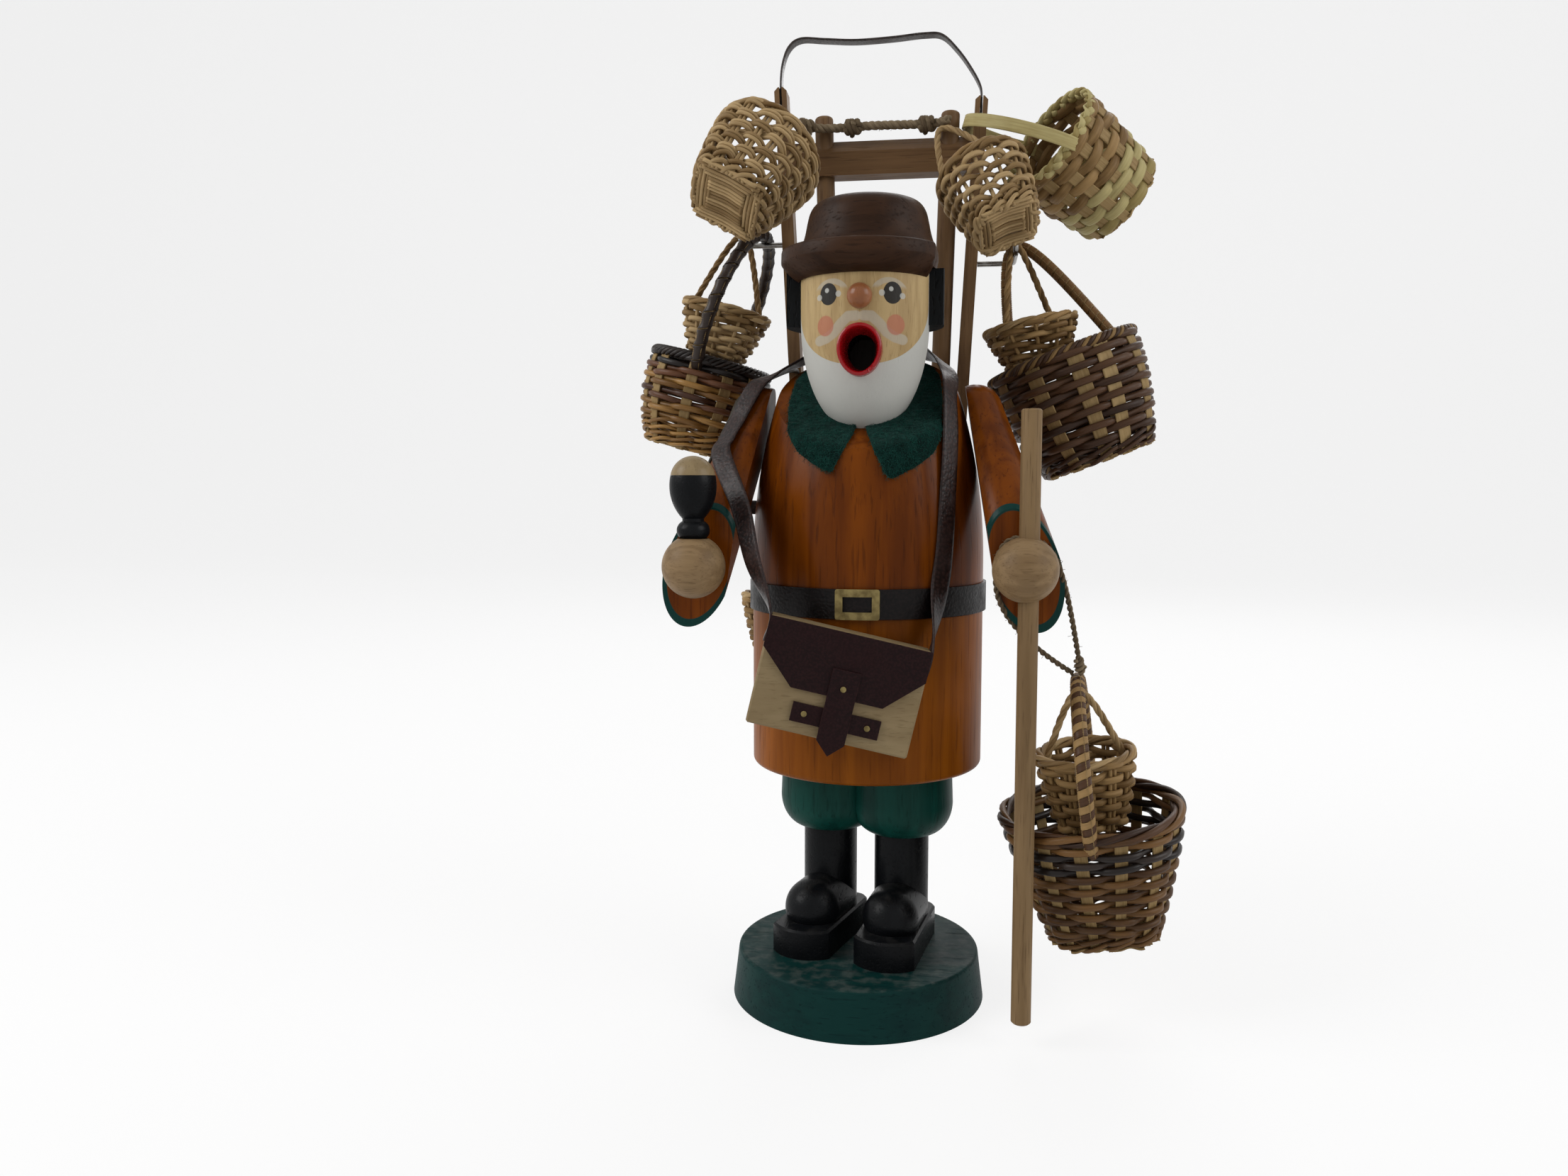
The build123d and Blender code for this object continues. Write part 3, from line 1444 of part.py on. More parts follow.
staff_x = cuff_x + staff_offset
bearing = math.radians(hand_basket_bearing)
stand_off = hand_basket_rim_radius + wicker_rim_radius + staff_radius + loose_gap
hand_rim = rim_frame(
    Vector(
        staff_x + stand_off * math.cos(bearing),
        hand_y + stand_off * math.sin(bearing),
        hand_z - hand_basket_drop,
    ),
    hand_basket_lean,
    hand_basket_nod,
)
hand_legs = leg_points(hand_rim, hand_basket_rim_radius, wrapped_rod_radius, hand_basket_twist)
hand_top = hand_rim.origin + hand_rim.z_dir * hand_basket_arch
hand_path = (hand_legs[0], hand_top, hand_legs[1])
with BuildPart() as hand_basket:
    add(
        basket_body(
            foot_frame(hand_rim, hand_basket_height),
            hand_basket_rim_radius,
            hand_basket_foot_radius,
            hand_basket_height,
            hand_basket_bulge,
        )
    )
    add(arch(*hand_path, wrapped_rod_radius + glue_gap), mode=Mode.SUBTRACT)
save(hand_basket, "hand_basket")

with BuildPart() as hand_basket_handle:
    add(arch(*hand_path, wrapped_rod_radius))
save(hand_basket_handle, "hand_basket_handle")

hand_small_rim = Plane(
    origin=hand_rim.origin + hand_rim.z_dir * (hand_small_height - hand_small_sink),
    x_dir=hand_rim.x_dir,
    z_dir=hand_rim.z_dir,
)
hand_small_legs = leg_points(hand_small_rim, hand_small_rim_radius, rod_radius, hand_small_twist)
hand_small_top = hand_top - hand_rim.z_dir * (wrapped_rod_radius + rod_radius + loose_gap)
with BuildPart() as hand_small_basket:
    add(
        basket_body(
            foot_frame(hand_small_rim, hand_small_height),
            hand_small_rim_radius,
            hand_small_foot_radius,
            hand_small_height,
            hand_small_bulge,
        )
    )
    add(bow(hand_small_legs[0], hand_small_top, hand_small_legs[1], rod_radius, small_bend))
save(hand_small_basket, "hand_small_basket")

# Twine from the wrist to that basket's handle

knot = hand_top + hand_rim.z_dir * (wrapped_rod_radius + twine_radius + glue_gap)
loop_y = -cuff_ahead - twine_radius - loose_gap
hand_twine_points = (
    (knot.X + knot_half, knot.Y, knot.Z),
    (cuff_x + 12.8, loop_y - 0.4, hand_z - 2),
    (cuff_x + 4.5, loop_y, hand_z + 10.5),
    (cuff_x - 9.5, loop_y, hand_z + 8.0),
    (cuff_x - 7.5, loop_y, hand_z - 18.5),
    (knot.X - knot_half, knot.Y, knot.Z),
)
hand_twine = tube(hand_twine_points, [6.0, 6.0, 5.5, 6.0], twine_radius)
save(hand_twine, "hand_twine")

# The small basket low on the right rail

back_rim = rim_frame(back_seat + Vector(0, 0, -back_basket_drop), 0)
back_legs = leg_points(back_rim, back_basket_rim_radius, rod_radius, 0)
with BuildPart() as back_basket:
    add(
        basket_body(
            foot_frame(back_rim, back_basket_height),
            back_basket_rim_radius,
            back_basket_foot_radius,
            back_basket_height,
            back_basket_bulge,
        )
    )
    add(bow(back_legs[0], back_seat + Vector(0, 0, hang_rod), back_legs[1], rod_radius, small_bend))
save(back_basket, "back_basket")

# The baskets tied to the tops of the posts

peg_z = top_bar_high + 4
peg_y = frame_y - post_radius - twine_radius - loose_gap
right_peg_x = post_shift - post_spacing / 2
left_peg_x = post_shift + post_spacing / 2
right_tie = Vector(right_peg_x - 6.5, peg_y - 4.0, peg_z - 3.8)
left_tie = Vector(left_peg_x - 3.0, peg_y - 4.4, peg_z - 3.5)
upper_right_rim = tilted(
    (right_peg_x - 15.0, 19.0, seam_z + 161.0), (0.40, 0.62, 0.68), (0.85, -0.05, -0.5)
)
upper_left_rim = tilted((left_peg_x + 11.0, 20.5, seam_z + 149.0), (-0.353, 0.49, 0.79), (0.9, 0.1, 0.35))

with BuildPart() as upper_right_basket:
    add(
        basket_body(
            foot_frame(upper_right_rim, upper_right_height),
            upper_right_rim_radius,
            upper_right_foot_radius,
            upper_right_height,
            upper_right_bulge,
        )
    )
    upper_right_legs = leg_points(upper_right_rim, upper_right_rim_radius, rod_radius, 0)
    add(bow(upper_right_legs[0], right_tie, upper_right_legs[1], rod_radius, small_bend))
save(upper_right_basket, "upper_right_basket")

with BuildPart() as upper_left_basket:
    add(
        basket_body(
            foot_frame(upper_left_rim, upper_left_height),
            upper_left_rim_radius,
            upper_left_foot_radius,
            upper_left_height,
            upper_left_bulge,
        )
    )
    upper_left_legs = leg_points(upper_left_rim, upper_left_rim_radius, rod_radius, 0)
    add(bow(upper_left_legs[0], left_tie, upper_left_legs[1], rod_radius, small_bend))
save(upper_left_basket, "upper_left_basket")

# The chip basket: a flat band hangs it over the tip of the left rail

chip_rail_z = seam_z + left_rail_top - 9
chip_rail_x = rail_x(1, chip_rail_z)
chip_rim = tilted(
    (chip_rail_x + 24.0, frame_y - 1.0, seam_z + 166.0), (-0.76, -0.418, 0.497), (-0.35, 0.909, 0.229)
)
chip_band_top = Vector(chip_rail_x - rail_width / 2 - chip_band_clear, frame_y, chip_rail_z)
chip_legs = leg_points(chip_rim, chip_rim_radius, chip_band_thickness, 0)
with BuildPart() as chip_basket:
    add(
        basket_body(
            foot_frame(chip_rim, chip_height), chip_rim_radius, chip_foot_radius, chip_height, chip_bulge
        )
    )
    with BuildLine() as chip_path:
        ThreePointArc(chip_legs[0], chip_band_top, chip_legs[1])
    chip_start = chip_path.line @ 0
    chip_heading = chip_path.line % 0
    chip_side = chip_heading.cross(chip_band_top - chip_start)
    with BuildSketch(Plane(origin=chip_start, x_dir=chip_side, z_dir=chip_heading)):
        Rectangle(chip_band_width, chip_band_thickness)
    sweep(path=chip_path.line)
save(chip_basket, "chip_basket")

# Twine round the tops of the posts, from one tied basket to the other

twine_over = rod_radius + twine_radius + 4 * loose_gap
peg_twine_points = (
    (right_tie.X - 1.5, right_tie.Y - 0.5, right_tie.Z + twine_over),
    (right_peg_x, peg_y, peg_z - 0.8),
    (post_shift - 8, peg_y - 1.0, peg_z - 0.3),
    (post_shift + 9, peg_y - 1.0, peg_z - 0.6),
    (left_peg_x - 4, peg_y, peg_z - 0.4),
    (left_tie.X + 2.5, left_tie.Y - 0.5, left_tie.Z + twine_over),
)
peg_twine = tube(peg_twine_points, [12.0, 30.0, 40.0, 4.0], twine_radius)
save(peg_twine, "peg_twine")
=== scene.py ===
"""Basket seller, an incense smoker of turned and stained wood, with woven baskets on a carrying frame."""

from __future__ import annotations

import logging
import math
from dataclasses import dataclass, field
from enum import Enum
from functools import cache
from typing import Callable, Sequence

import bmesh
import bpy
import numpy as np
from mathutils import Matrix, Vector, noise
from mathutils.bvhtree import BVHTree

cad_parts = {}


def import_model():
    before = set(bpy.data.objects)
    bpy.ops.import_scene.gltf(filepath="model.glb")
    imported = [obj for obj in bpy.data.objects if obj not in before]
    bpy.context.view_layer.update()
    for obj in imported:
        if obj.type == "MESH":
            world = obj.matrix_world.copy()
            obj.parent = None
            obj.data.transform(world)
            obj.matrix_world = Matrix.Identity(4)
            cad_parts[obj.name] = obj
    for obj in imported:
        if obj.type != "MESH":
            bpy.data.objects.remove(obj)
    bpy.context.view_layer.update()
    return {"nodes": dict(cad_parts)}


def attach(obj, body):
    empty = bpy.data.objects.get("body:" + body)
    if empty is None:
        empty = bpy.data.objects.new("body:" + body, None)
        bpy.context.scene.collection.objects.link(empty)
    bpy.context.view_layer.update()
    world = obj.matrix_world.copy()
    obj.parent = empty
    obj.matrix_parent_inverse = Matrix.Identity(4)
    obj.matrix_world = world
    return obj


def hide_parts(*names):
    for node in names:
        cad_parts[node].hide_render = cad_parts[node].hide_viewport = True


LOG = logging.getLogger("basket_seller")
MM = 0.001
WOOD_BUMP = 0.25 * MM
SHARP_EDGE = math.radians(38)
NORMAL_HINT = np.array((0.31, 0.83, 0.46))
ROD_SIDES = 7
GRAIN_OUTPUTS = (("Color", "Color"), ("Height", "Float"), ("Polish", "Float"))
NOSE_Z = 232.2
MOUTH_Z = 216.0
HEAD_AXIS = (0.0, -17.0)
HEAD_EDGE = (
    (0.0, 190.0), (4.5, 190.7), (8.2, 192.8), (12.0, 196.7), (15.6, 202.3), (18.3, 209.2), (20.0, 216.8),
    (20.65, 223.0), (20.8, 230.0), (20.8, 236.0), (20.8, 242.9),
)
Pair = tuple[float, float]
Triple = tuple[float, float, float]
Colour = Triple
Node, Socket, Tree = bpy.types.Node, bpy.types.NodeSocket, bpy.types.NodeTree
Thing, Mesh, Material = bpy.types.Object, bpy.types.Mesh, bpy.types.Material
Array, Rng = np.ndarray, np.random.Generator


class Canvas:
    """Places and wires the nodes of one material or node group."""

    def __init__(self, tree: Tree) -> None:
        """Starts on an empty tree."""
        self.tree = tree

    def add(self, kind: str, **settings: object) -> Node:
        """Adds one node.

        Args:
            kind: Blender's name of the node type.
            **settings: Properties to write on the node.

        Returns:
            The new node.
        """
        node = self.tree.nodes.new(kind)
        for key, value in settings.items():
            setattr(node, key, value)
        return node

    def feed(self, socket: Socket, value: object) -> None:
        """Links a socket, or writes a plain value to it.

        Args:
            socket: The input to fill.
            value: An output socket, a number or a vector.
        """
        if isinstance(value, Socket):
            self.tree.links.new(value, socket)
        elif socket.type == "RGBA":
            socket.default_value = (*value[:3], 1.0)
        else:
            socket.default_value = value

    def fill(self, node: Node, **values: object) -> Node:
        """Fills a node's inputs by their titles.

        Args:
            node: The node.
            **values: Its inputs, with underscores for spaces.

        Returns:
            The same node.
        """
        for title, value in values.items():
            self.feed(node.inputs[title.replace("_", " ")], value)
        return node

    def fill_in_order(self, node: Node, values: Sequence[object]) -> Node:
        """Fills a node's inputs from the first on.

        Args:
            node: The node.
            values: Its inputs, in order.

        Returns:
            The same node.
        """
        for socket, value in zip(node.inputs, values):
            self.feed(socket, value)
        return node

    def math(self, operation: str, *values: object, clamp: bool = False) -> Socket:
        """Result of a math node, held between 0 and 1 where that is asked for."""
        node = self.add("ShaderNodeMath", operation=operation, use_clamp=clamp)
        return self.fill_in_order(node, values).outputs[0]

    def times(self, first: object, second: object) -> Socket:
        """Product of two values."""
        return self.math("MULTIPLY", first, second)

    def vector(self, operation: str, *values: object) -> Node:
        """A vector math node, whose outputs are Vector and Value."""
        return self.fill_in_order(self.add("ShaderNodeVectorMath", operation=operation), values)

    def scaled(self, place: object, factor: object) -> Socket:
        """A vector times a factor."""
        node = self.add("ShaderNodeVectorMath", operation="SCALE")
        return self.fill(node, Vector=place, Scale=factor).outputs[0]

    def mix(self, factor: object, first: object, second: object, mode: str = "MIX") -> Socket:
        """Mixes two colours.

        Args:
            factor: Share of the second colour.
            first: The colour at 0.
            second: The colour at 1.
            mode: Blender's name of the blend.

        Returns:
            The mixed colour.
        """
        node = self.add("ShaderNodeMix", data_type="RGBA", blend_type=mode)
        self.feed(node.inputs[0], factor)
        self.feed(node.inputs[6], first)
        self.feed(node.inputs[7], second)
        return node.outputs[2]

    def spread(self, value: object, low: float, high: float, to_low: float = 0.0, to_high: float = 1.0) -> Socket:
        """A value mapped smoothly from one range onto another and held inside it."""
        node = self.add("ShaderNodeMapRange", interpolation_type="SMOOTHSTEP")
        return self.fill(node, Value=value, From_Min=low, From_Max=high, To_Min=to_low, To_Max=to_high).outputs[0]

    def noise(self, place: object, scale: float, detail: float = 3.0, twist: float = 0.0) -> Socket:
        """Grey value of a noise texture at a place."""
        node = self.add("ShaderNodeTexNoise")
        return self.fill(node, Vector=place, Scale=scale, Detail=detail, Distortion=twist).outputs[0]

    def where(self) -> Socket:
        """Place on the object, in metres of the part's frame."""
        return self.add("ShaderNodeTexCoord").outputs["Object"]

    def effect(self, effect: "Effect", **values: object) -> Node:
        """Places a shared effect with its own values, as one group node."""
        return self.fill(self.add("ShaderNodeGroup", node_tree=effect.tree()), **values)


class Effect(Enum):
    """Surface effects that several finishes share, each one node group."""

    GRAIN = "wood_grain"
    HIDE = "leather_grain"
    FIBRE = "strand_fibre"
    WEAR_AND_HIGHLIGHT = "edge_wear_and_highlight"
    DUST = "settled_dust"
    SPOT = "painted_spot"
    STROKE = "painted_stroke"

    def tree(self) -> Tree:
        """The effect's node group, built at its first use."""
        return bpy.data.node_groups.get(self.value) or EFFECT_MAKERS[self]()


def new_group(
    effect: Effect, inputs: Sequence[tuple[str, str, object]], outputs: Sequence[tuple[str, str]],
) -> tuple[Tree, Canvas, bpy.types.NodeOutputs, Node]:
    """Starts a shader node group.

    Args:
        effect: The effect that it makes.
        inputs: Title, kind and default value of each input.
        outputs: Title and kind of each output.

    Returns:
        The tree, a canvas on it, what it is given, and its output node.
    """
    tree = bpy.data.node_groups.new(effect.value, "ShaderNodeTree")
    for title, kind, value in inputs:
        socket = tree.interface.new_socket(title, in_out="INPUT", socket_type=f"NodeSocket{kind}")
        socket.default_value = (*value, 1.0) if kind == "Color" else value
    for title, kind in outputs:
        tree.interface.new_socket(title, in_out="OUTPUT", socket_type=f"NodeSocket{kind}")
    canvas = Canvas(tree)
    return tree, canvas, canvas.add("NodeGroupInput").outputs, canvas.add("NodeGroupOutput")


def make_grain() -> Tree:
    """Wood grain: growth bands, fine pores and a fleck across them.

    Returns:
        The node group.
    """
    tree, canvas, given, result = new_group(
        Effect.GRAIN,
        (
            ("Stretch", "Vector", (190.0, 190.0, 10.0)), ("Light", "Color", (0.7, 0.55, 0.36)),
            ("Dark", "Color", (0.5, 0.36, 0.2)), ("Pore", "Color", (0.3, 0.2, 0.1)), ("Figure", "Float", 1.0),
        ),
        GRAIN_OUTPUTS,
    )
    place = canvas.vector("MULTIPLY", canvas.where(), given["Stretch"]).outputs[0]
    bands = canvas.spread(canvas.noise(place, 1.0, 4.0, 0.6), 0.36, 0.66)
    pores = canvas.spread(canvas.noise(place, 7.0, 2.0), 0.56, 0.72)
    cloud = canvas.spread(canvas.noise(canvas.where(), 55.0, 2.0), 0.3, 0.7)
    tint = canvas.mix(canvas.times(bands, given["Figure"]), given["Light"], given["Dark"])
    tint = canvas.mix(canvas.times(cloud, 0.22), tint, given["Dark"])
    tint = canvas.mix(canvas.times(canvas.times(pores, 0.6), given["Figure"]), tint, given["Pore"])
    height = canvas.math("SUBTRACT", canvas.times(bands, 0.35), pores)
    polish = canvas.math("ADD", pores, canvas.times(cloud, 0.4))
    canvas.fill(result, Color=tint, Height=height, Polish=polish)
    return tree


def make_hide() -> Tree:
    """Leather grain: pebbles, creases and a worn tint.

    Returns:
        The node group.
    """
    tree, canvas, given, result = new_group(
        Effect.HIDE,
        (("Light", "Color", (0.16, 0.11, 0.09)), ("Dark", "Color", (0.05, 0.03, 0.03)), ("Fineness", "Float", 1100.0)),
        GRAIN_OUTPUTS,
    )
    place = canvas.where()
    pebbles = canvas.add("ShaderNodeTexVoronoi", feature="SMOOTH_F1")
    grain = canvas.fill(pebbles, Vector=place, Scale=given["Fineness"]).outputs["Distance"]
    crease = canvas.noise(place, 620.0, 4.0, 0.8)
    paler = canvas.spread(canvas.noise(place, 90.0), 0.42, 0.72)
    tint = canvas.mix(canvas.spread(grain, 0.2, 0.6), given["Light"], given["Dark"])
    tint = canvas.mix(canvas.times(paler, 0.45), tint, given["Light"])
    height = canvas.math("SUBTRACT", canvas.times(crease, 0.8), grain)
    polish = canvas.math("ADD", canvas.times(grain, 0.6), paler)
    canvas.fill(result, Color=tint, Height=height, Polish=polish)
    return tree


def make_fibre() -> Tree:
    """Fibres along a strand, from its own length and turn.

    Returns:
        The node group.
    """
    tree, canvas, given, result = new_group(
        Effect.FIBRE,
        (("Light", "Color", (0.7, 0.55, 0.33)), ("Dark", "Color", (0.4, 0.28, 0.14)), ("Streaks", "Float", 7.0)),
        GRAIN_OUTPUTS,
    )
    strand = canvas.add("ShaderNodeUVMap", uv_map="strand")
    tone = canvas.add("ShaderNodeAttribute", attribute_name="tone").outputs["Fac"]
    parts = canvas.add("ShaderNodeSeparateXYZ")
    canvas.feed(parts.inputs[0], strand.outputs[0])
    joined = canvas.add("ShaderNodeCombineXYZ")
    canvas.fill(
        joined, X=canvas.times(parts.outputs[0], 60.0), Y=canvas.times(parts.outputs[1], given["Streaks"]),
        Z=canvas.times(tone, 37.0),
    )
    streak = canvas.noise(joined.outputs[0], 1.6, 4.0)
    blotch = canvas.noise(canvas.where(), 160.0, 2.0)
    shade = canvas.math("ADD", canvas.times(streak, 0.75), canvas.times(tone, 0.65))
    shade = canvas.math("ADD", shade, canvas.times(blotch, 0.35))
    tint = canvas.mix(canvas.spread(shade, 0.45, 1.3), given["Light"], given["Dark"])
    polish = canvas.math("ADD", streak, canvas.times(blotch, 0.3))
    canvas.fill(result, Color=tint, Height=streak, Polish=polish)
    return tree


def make_wear_and_highlight() -> Tree:
    """Mask of edges that are partly rubbed by handling and partly a painted highlight, broken up by a fine noise.

    Returns:
        The node group.
    """
    tree, canvas, given, result = new_group(
        Effect.WEAR_AND_HIGHLIGHT, (("Width", "Float", 0.6 * MM), ("Amount", "Float", 0.6)), (("Mask", "Float"),),
    )
    # Painted highlight together with wear: the mask picks out rounded edges, where finishes mix in a paler colour.
    rounded = canvas.add("ShaderNodeBevel", samples=4)
    canvas.feed(rounded.inputs["Radius"], given["Width"])
    plain = canvas.add("ShaderNodeNewGeometry").outputs["Normal"]
    turn = canvas.vector("DOT_PRODUCT", rounded.outputs[0], plain).outputs["Value"]
    edge = canvas.spread(turn, 0.99, 0.8)
    broken = canvas.spread(canvas.noise(canvas.where(), 420.0), 0.38, 0.62)
    mask = canvas.math("MULTIPLY", canvas.times(edge, broken), given["Amount"], clamp=True)
    canvas.feed(result.inputs["Mask"], mask)
    return tree


def make_dust() -> Tree:
    """Dust and wax bloom that settle on surfaces facing up.

    Returns:
        The node group.
    """
    tree, canvas, given, result = new_group(
        Effect.DUST,
        (("Color", "Color", (0.5, 0.5, 0.5)), ("Dust", "Color", (0.6, 0.57, 0.52)), ("Amount", "Float", 0.3)),
        (("Color", "Color"), ("Mask", "Float")),
    )
    facing = canvas.add("ShaderNodeSeparateXYZ")
    canvas.feed(facing.inputs[0], canvas.add("ShaderNodeNewGeometry").outputs["Normal"])
    flat = canvas.spread(facing.outputs[2], 0.5, 0.95)
    patches = canvas.spread(canvas.noise(canvas.where(), 240.0, 5.0), 0.42, 0.7)
    mask = canvas.times(canvas.times(flat, patches), given["Amount"])
    canvas.fill(result, Color=canvas.mix(mask, given["Color"], given["Dust"]), Mask=mask)
    return tree


def make_spot() -> Tree:
    """Mask of a brushed oval in a plane, in millimetres.

    Returns:
        The node group.
    """
    tree, canvas, given, result = new_group(
        Effect.SPOT,
        (
            ("Place", "Vector", (0.0, 0.0, 0.0)), ("Centre", "Vector", (0.0, 0.0, 0.0)),
            ("Half", "Vector", (1.0, 1.0, 1.0)), ("Blur", "Float", 0.1),
        ),
        (("Mask", "Float"),),
    )
    away = canvas.vector("SUBTRACT", given["Place"], given["Centre"]).outputs[0]
    away = canvas.vector("DIVIDE", away, given["Half"]).outputs[0]
    reach = canvas.vector("LENGTH", away).outputs["Value"]
    inner = canvas.math("SUBTRACT", 1.0, given["Blur"])
    canvas.feed(result.inputs["Mask"], canvas.spread(reach, 1.0, inner))
    return tree


def make_stroke() -> Tree:
    """Mask of one straight brush stroke with round ends, in millimetres.

    Returns:
        The node group.
    """
    tree, canvas, given, result = new_group(
        Effect.STROKE,
        (
            ("Place", "Vector", (0.0, 0.0, 0.0)), ("Start", "Vector", (0.0, 0.0, 0.0)),
            ("Stop", "Vector", (1.0, 0.0, 0.0)), ("Half Width", "Float", 1.0), ("Blur", "Float", 0.15),
        ),
        (("Mask", "Float"),),
    )
    away = canvas.vector("SUBTRACT", given["Place"], given["Start"]).outputs[0]
    run = canvas.vector("SUBTRACT", given["Stop"], given["Start"]).outputs[0]
    share = canvas.math(
        "DIVIDE", canvas.vector("DOT_PRODUCT", away, run).outputs["Value"],
        canvas.vector("DOT_PRODUCT", run, run).outputs["Value"], clamp=True,
    )
    reach = canvas.vector("DISTANCE", away, canvas.scaled(run, share)).outputs["Value"]
    inner = canvas.math("SUBTRACT", given["Half Width"], given["Blur"])
    canvas.feed(result.inputs["Mask"], canvas.spread(reach, given["Half Width"], inner))
    return tree


EFFECT_MAKERS: dict[Effect, Callable[[], Tree]] = {
    Effect.GRAIN: make_grain, Effect.HIDE: make_hide, Effect.FIBRE: make_fibre, Effect.WEAR_AND_HIGHLIGHT: make_wear_and_highlight,
    Effect.DUST: make_dust, Effect.SPOT: make_spot, Effect.STROKE: make_stroke,
}


def new_material(name: str) -> tuple[Material, Canvas, Node]:
    """Starts a material with one Principled shader.

    Args:
        name: The material's name.

    Returns:
        The material, a canvas on its nodes and the shader.
    """
    material = bpy.data.materials.new(name)
    material.use_nodes = True
    tree = material.node_tree
    tree.nodes.clear()
    canvas = Canvas(tree)
    shader = canvas.add("ShaderNodeBsdfPrincipled")
    end = canvas.add("ShaderNodeOutputMaterial")
    canvas.feed(end.inputs["Surface"], shader.outputs[0])
    return material, canvas, shader


def add_bump(canvas: Canvas, shader: Node, height: object, depth: float, strength: float) -> None:
    """Feeds a height into the shader's normal, at a full depth in metres."""
    bump = canvas.fill(canvas.add("ShaderNodeBump"), Strength=strength, Distance=depth, Height=height)
    canvas.feed(shader.inputs["Normal"], bump.outputs[0])


class Finish:
    """A look whose material is made once, when a piece first asks for it."""

    @cache
    def material(self) -> Material:
        """The finish's material."""
        return self.build()


@dataclass(frozen=True)
class WoodFinish(Finish):
    """Stained, waxed or lacquered wood."""

    name: str
    light: Colour
    dark: Colour
    pore: Colour
    stretch: Triple = (190.0, 190.0, 10.0)
    figure: float = 0.8
    rough: Pair = (0.38, 0.55)
    shine: float = 0.14
    coat: float = 0.0
    coat_rough: float = 0.15
    bump: float = 0.25
    paler: Colour | None = None
    wear_and_highlight_amount: float = 0.5
    dust: float = 0.0

    def tint(self, canvas: Canvas) -> tuple[object, Node]:
        """Colour of the grain with paler edges, partly wear and partly painted highlight, and dust.

        Args:
            canvas: The material's canvas.

        Returns:
            The colour and the grain node.
        """
        grain = canvas.effect(
            Effect.GRAIN, Stretch=self.stretch, Light=self.light, Dark=self.dark, Pore=self.pore, Figure=self.figure,
        )
        tint = grain.outputs["Color"]
        # Painted highlight together with wear: rounded edges are mixed towards the paler colour.
        if self.paler is not None:
            wear_and_highlight = canvas.effect(Effect.WEAR_AND_HIGHLIGHT, Width=0.5 * MM, Amount=self.wear_and_highlight_amount)
            tint = canvas.mix(wear_and_highlight.outputs["Mask"], tint, self.paler)
        if self.dust > 0:
            tint = canvas.effect(Effect.DUST, Color=tint, Amount=self.dust).outputs["Color"]
        return tint, grain

    def build(self) -> Material:
        """Wires the look.

        Returns:
            The material.
        """
        material, canvas, shader = new_material(self.name)
        tint, grain = self.tint(canvas)
        self.dress(canvas, shader, tint, grain)
        return material

    def dress(self, canvas: Canvas, shader: Node, tint: object, grain: Node) -> None:
        """Wires colour, polish and bump to the shader.

        Args:
            canvas: The material's canvas.
            shader: Its Principled shader.
            tint: The colour.
            grain: The grain node.
        """
        canvas.fill(
            shader, Base_Color=tint, Roughness=canvas.spread(grain.outputs["Polish"], 0.0, 1.2, *self.rough),
            Specular_IOR_Level=self.shine, Coat_Weight=self.coat, Coat_Roughness=self.coat_rough,
        )
        add_bump(canvas, shader, grain.outputs["Height"], WOOD_BUMP, self.bump)


@dataclass(frozen=True)
class SleeveFinish(Finish):
    """Coat wood of an arm, with a painted border round the cut face of the sleeve."""

    wood: WoodFinish
    name: str
    border: Colour
    side: int
    cuff: Triple = (51.0, -36.0, 149.0)
    slope: Pair = (0.287, -0.958)
    half: Pair = (20.6, 11.4)
    border_width: float = 0.13
    edge_depth: float = 1.3

    def build(self) -> Material:
        """Wires the look.

        Returns:
            The material.
        """
        material, canvas, shader = new_material(self.name)
        tint, grain = self.wood.tint(canvas)
        middle = (self.side * self.cuff[0], *self.cuff[1:])
        away = canvas.vector("SUBTRACT", canvas.scaled(canvas.where(), 1 / MM), middle).outputs[0]
        along = canvas.vector("DOT_PRODUCT", away, (self.side * self.slope[0], 0.0, self.slope[1]))
        across = canvas.vector("DOT_PRODUCT", away, (-self.slope[1] * self.side, 0.0, self.slope[0]))
        deep = canvas.vector("DOT_PRODUCT", away, (0.0, 1.0, 0.0)).outputs["Value"]
        first = canvas.math("POWER", canvas.math("DIVIDE", along.outputs["Value"], self.half[0]), 2.0)
        second = canvas.math("POWER", canvas.math("DIVIDE", across.outputs["Value"], self.half[1]), 2.0)
        ring = canvas.math("SQRT", canvas.math("ADD", first, second))
        outer = canvas.spread(ring, 1.0 - self.border_width, 1.02 - self.border_width)
        near = canvas.spread(deep, self.edge_depth, self.edge_depth - 0.15)
        tint = canvas.mix(canvas.times(outer, near), tint, self.border)
        self.wood.dress(canvas, shader, tint, grain)
        return material


@dataclass(frozen=True)
class LeatherFinish(Finish):
    """Dyed leather with pebbled grain and a soft shine."""

    name: str
    light: Colour
    dark: Colour
    fineness: float = 1100.0
    rough: Pair = (0.34, 0.55)
    shine: float = 0.2
    bump: float = 0.6
    paler: Colour | None = None

    def build(self) -> Material:
        """Wires the look.

        Returns:
            The material.
        """
        material, canvas, shader = new_material(self.name)
        hide = canvas.effect(Effect.HIDE, Light=self.light, Dark=self.dark, Fineness=self.fineness)
        tint = hide.outputs["Color"]
        # Painted highlight together with wear: rounded edges of the leather are mixed towards the paler colour.
        if self.paler is not None:
            wear_and_highlight = canvas.effect(Effect.WEAR_AND_HIGHLIGHT, Width=0.35 * MM, Amount=0.7)
            tint = canvas.mix(wear_and_highlight.outputs["Mask"], tint, self.paler)
        polish = canvas.spread(hide.outputs["Polish"], 0.1, 1.4, *self.rough)
        canvas.fill(shader, Base_Color=tint, Roughness=polish, Specular_IOR_Level=self.shine)
        add_bump(canvas, shader, hide.outputs["Height"], 0.2 * MM, self.bump)
        return material


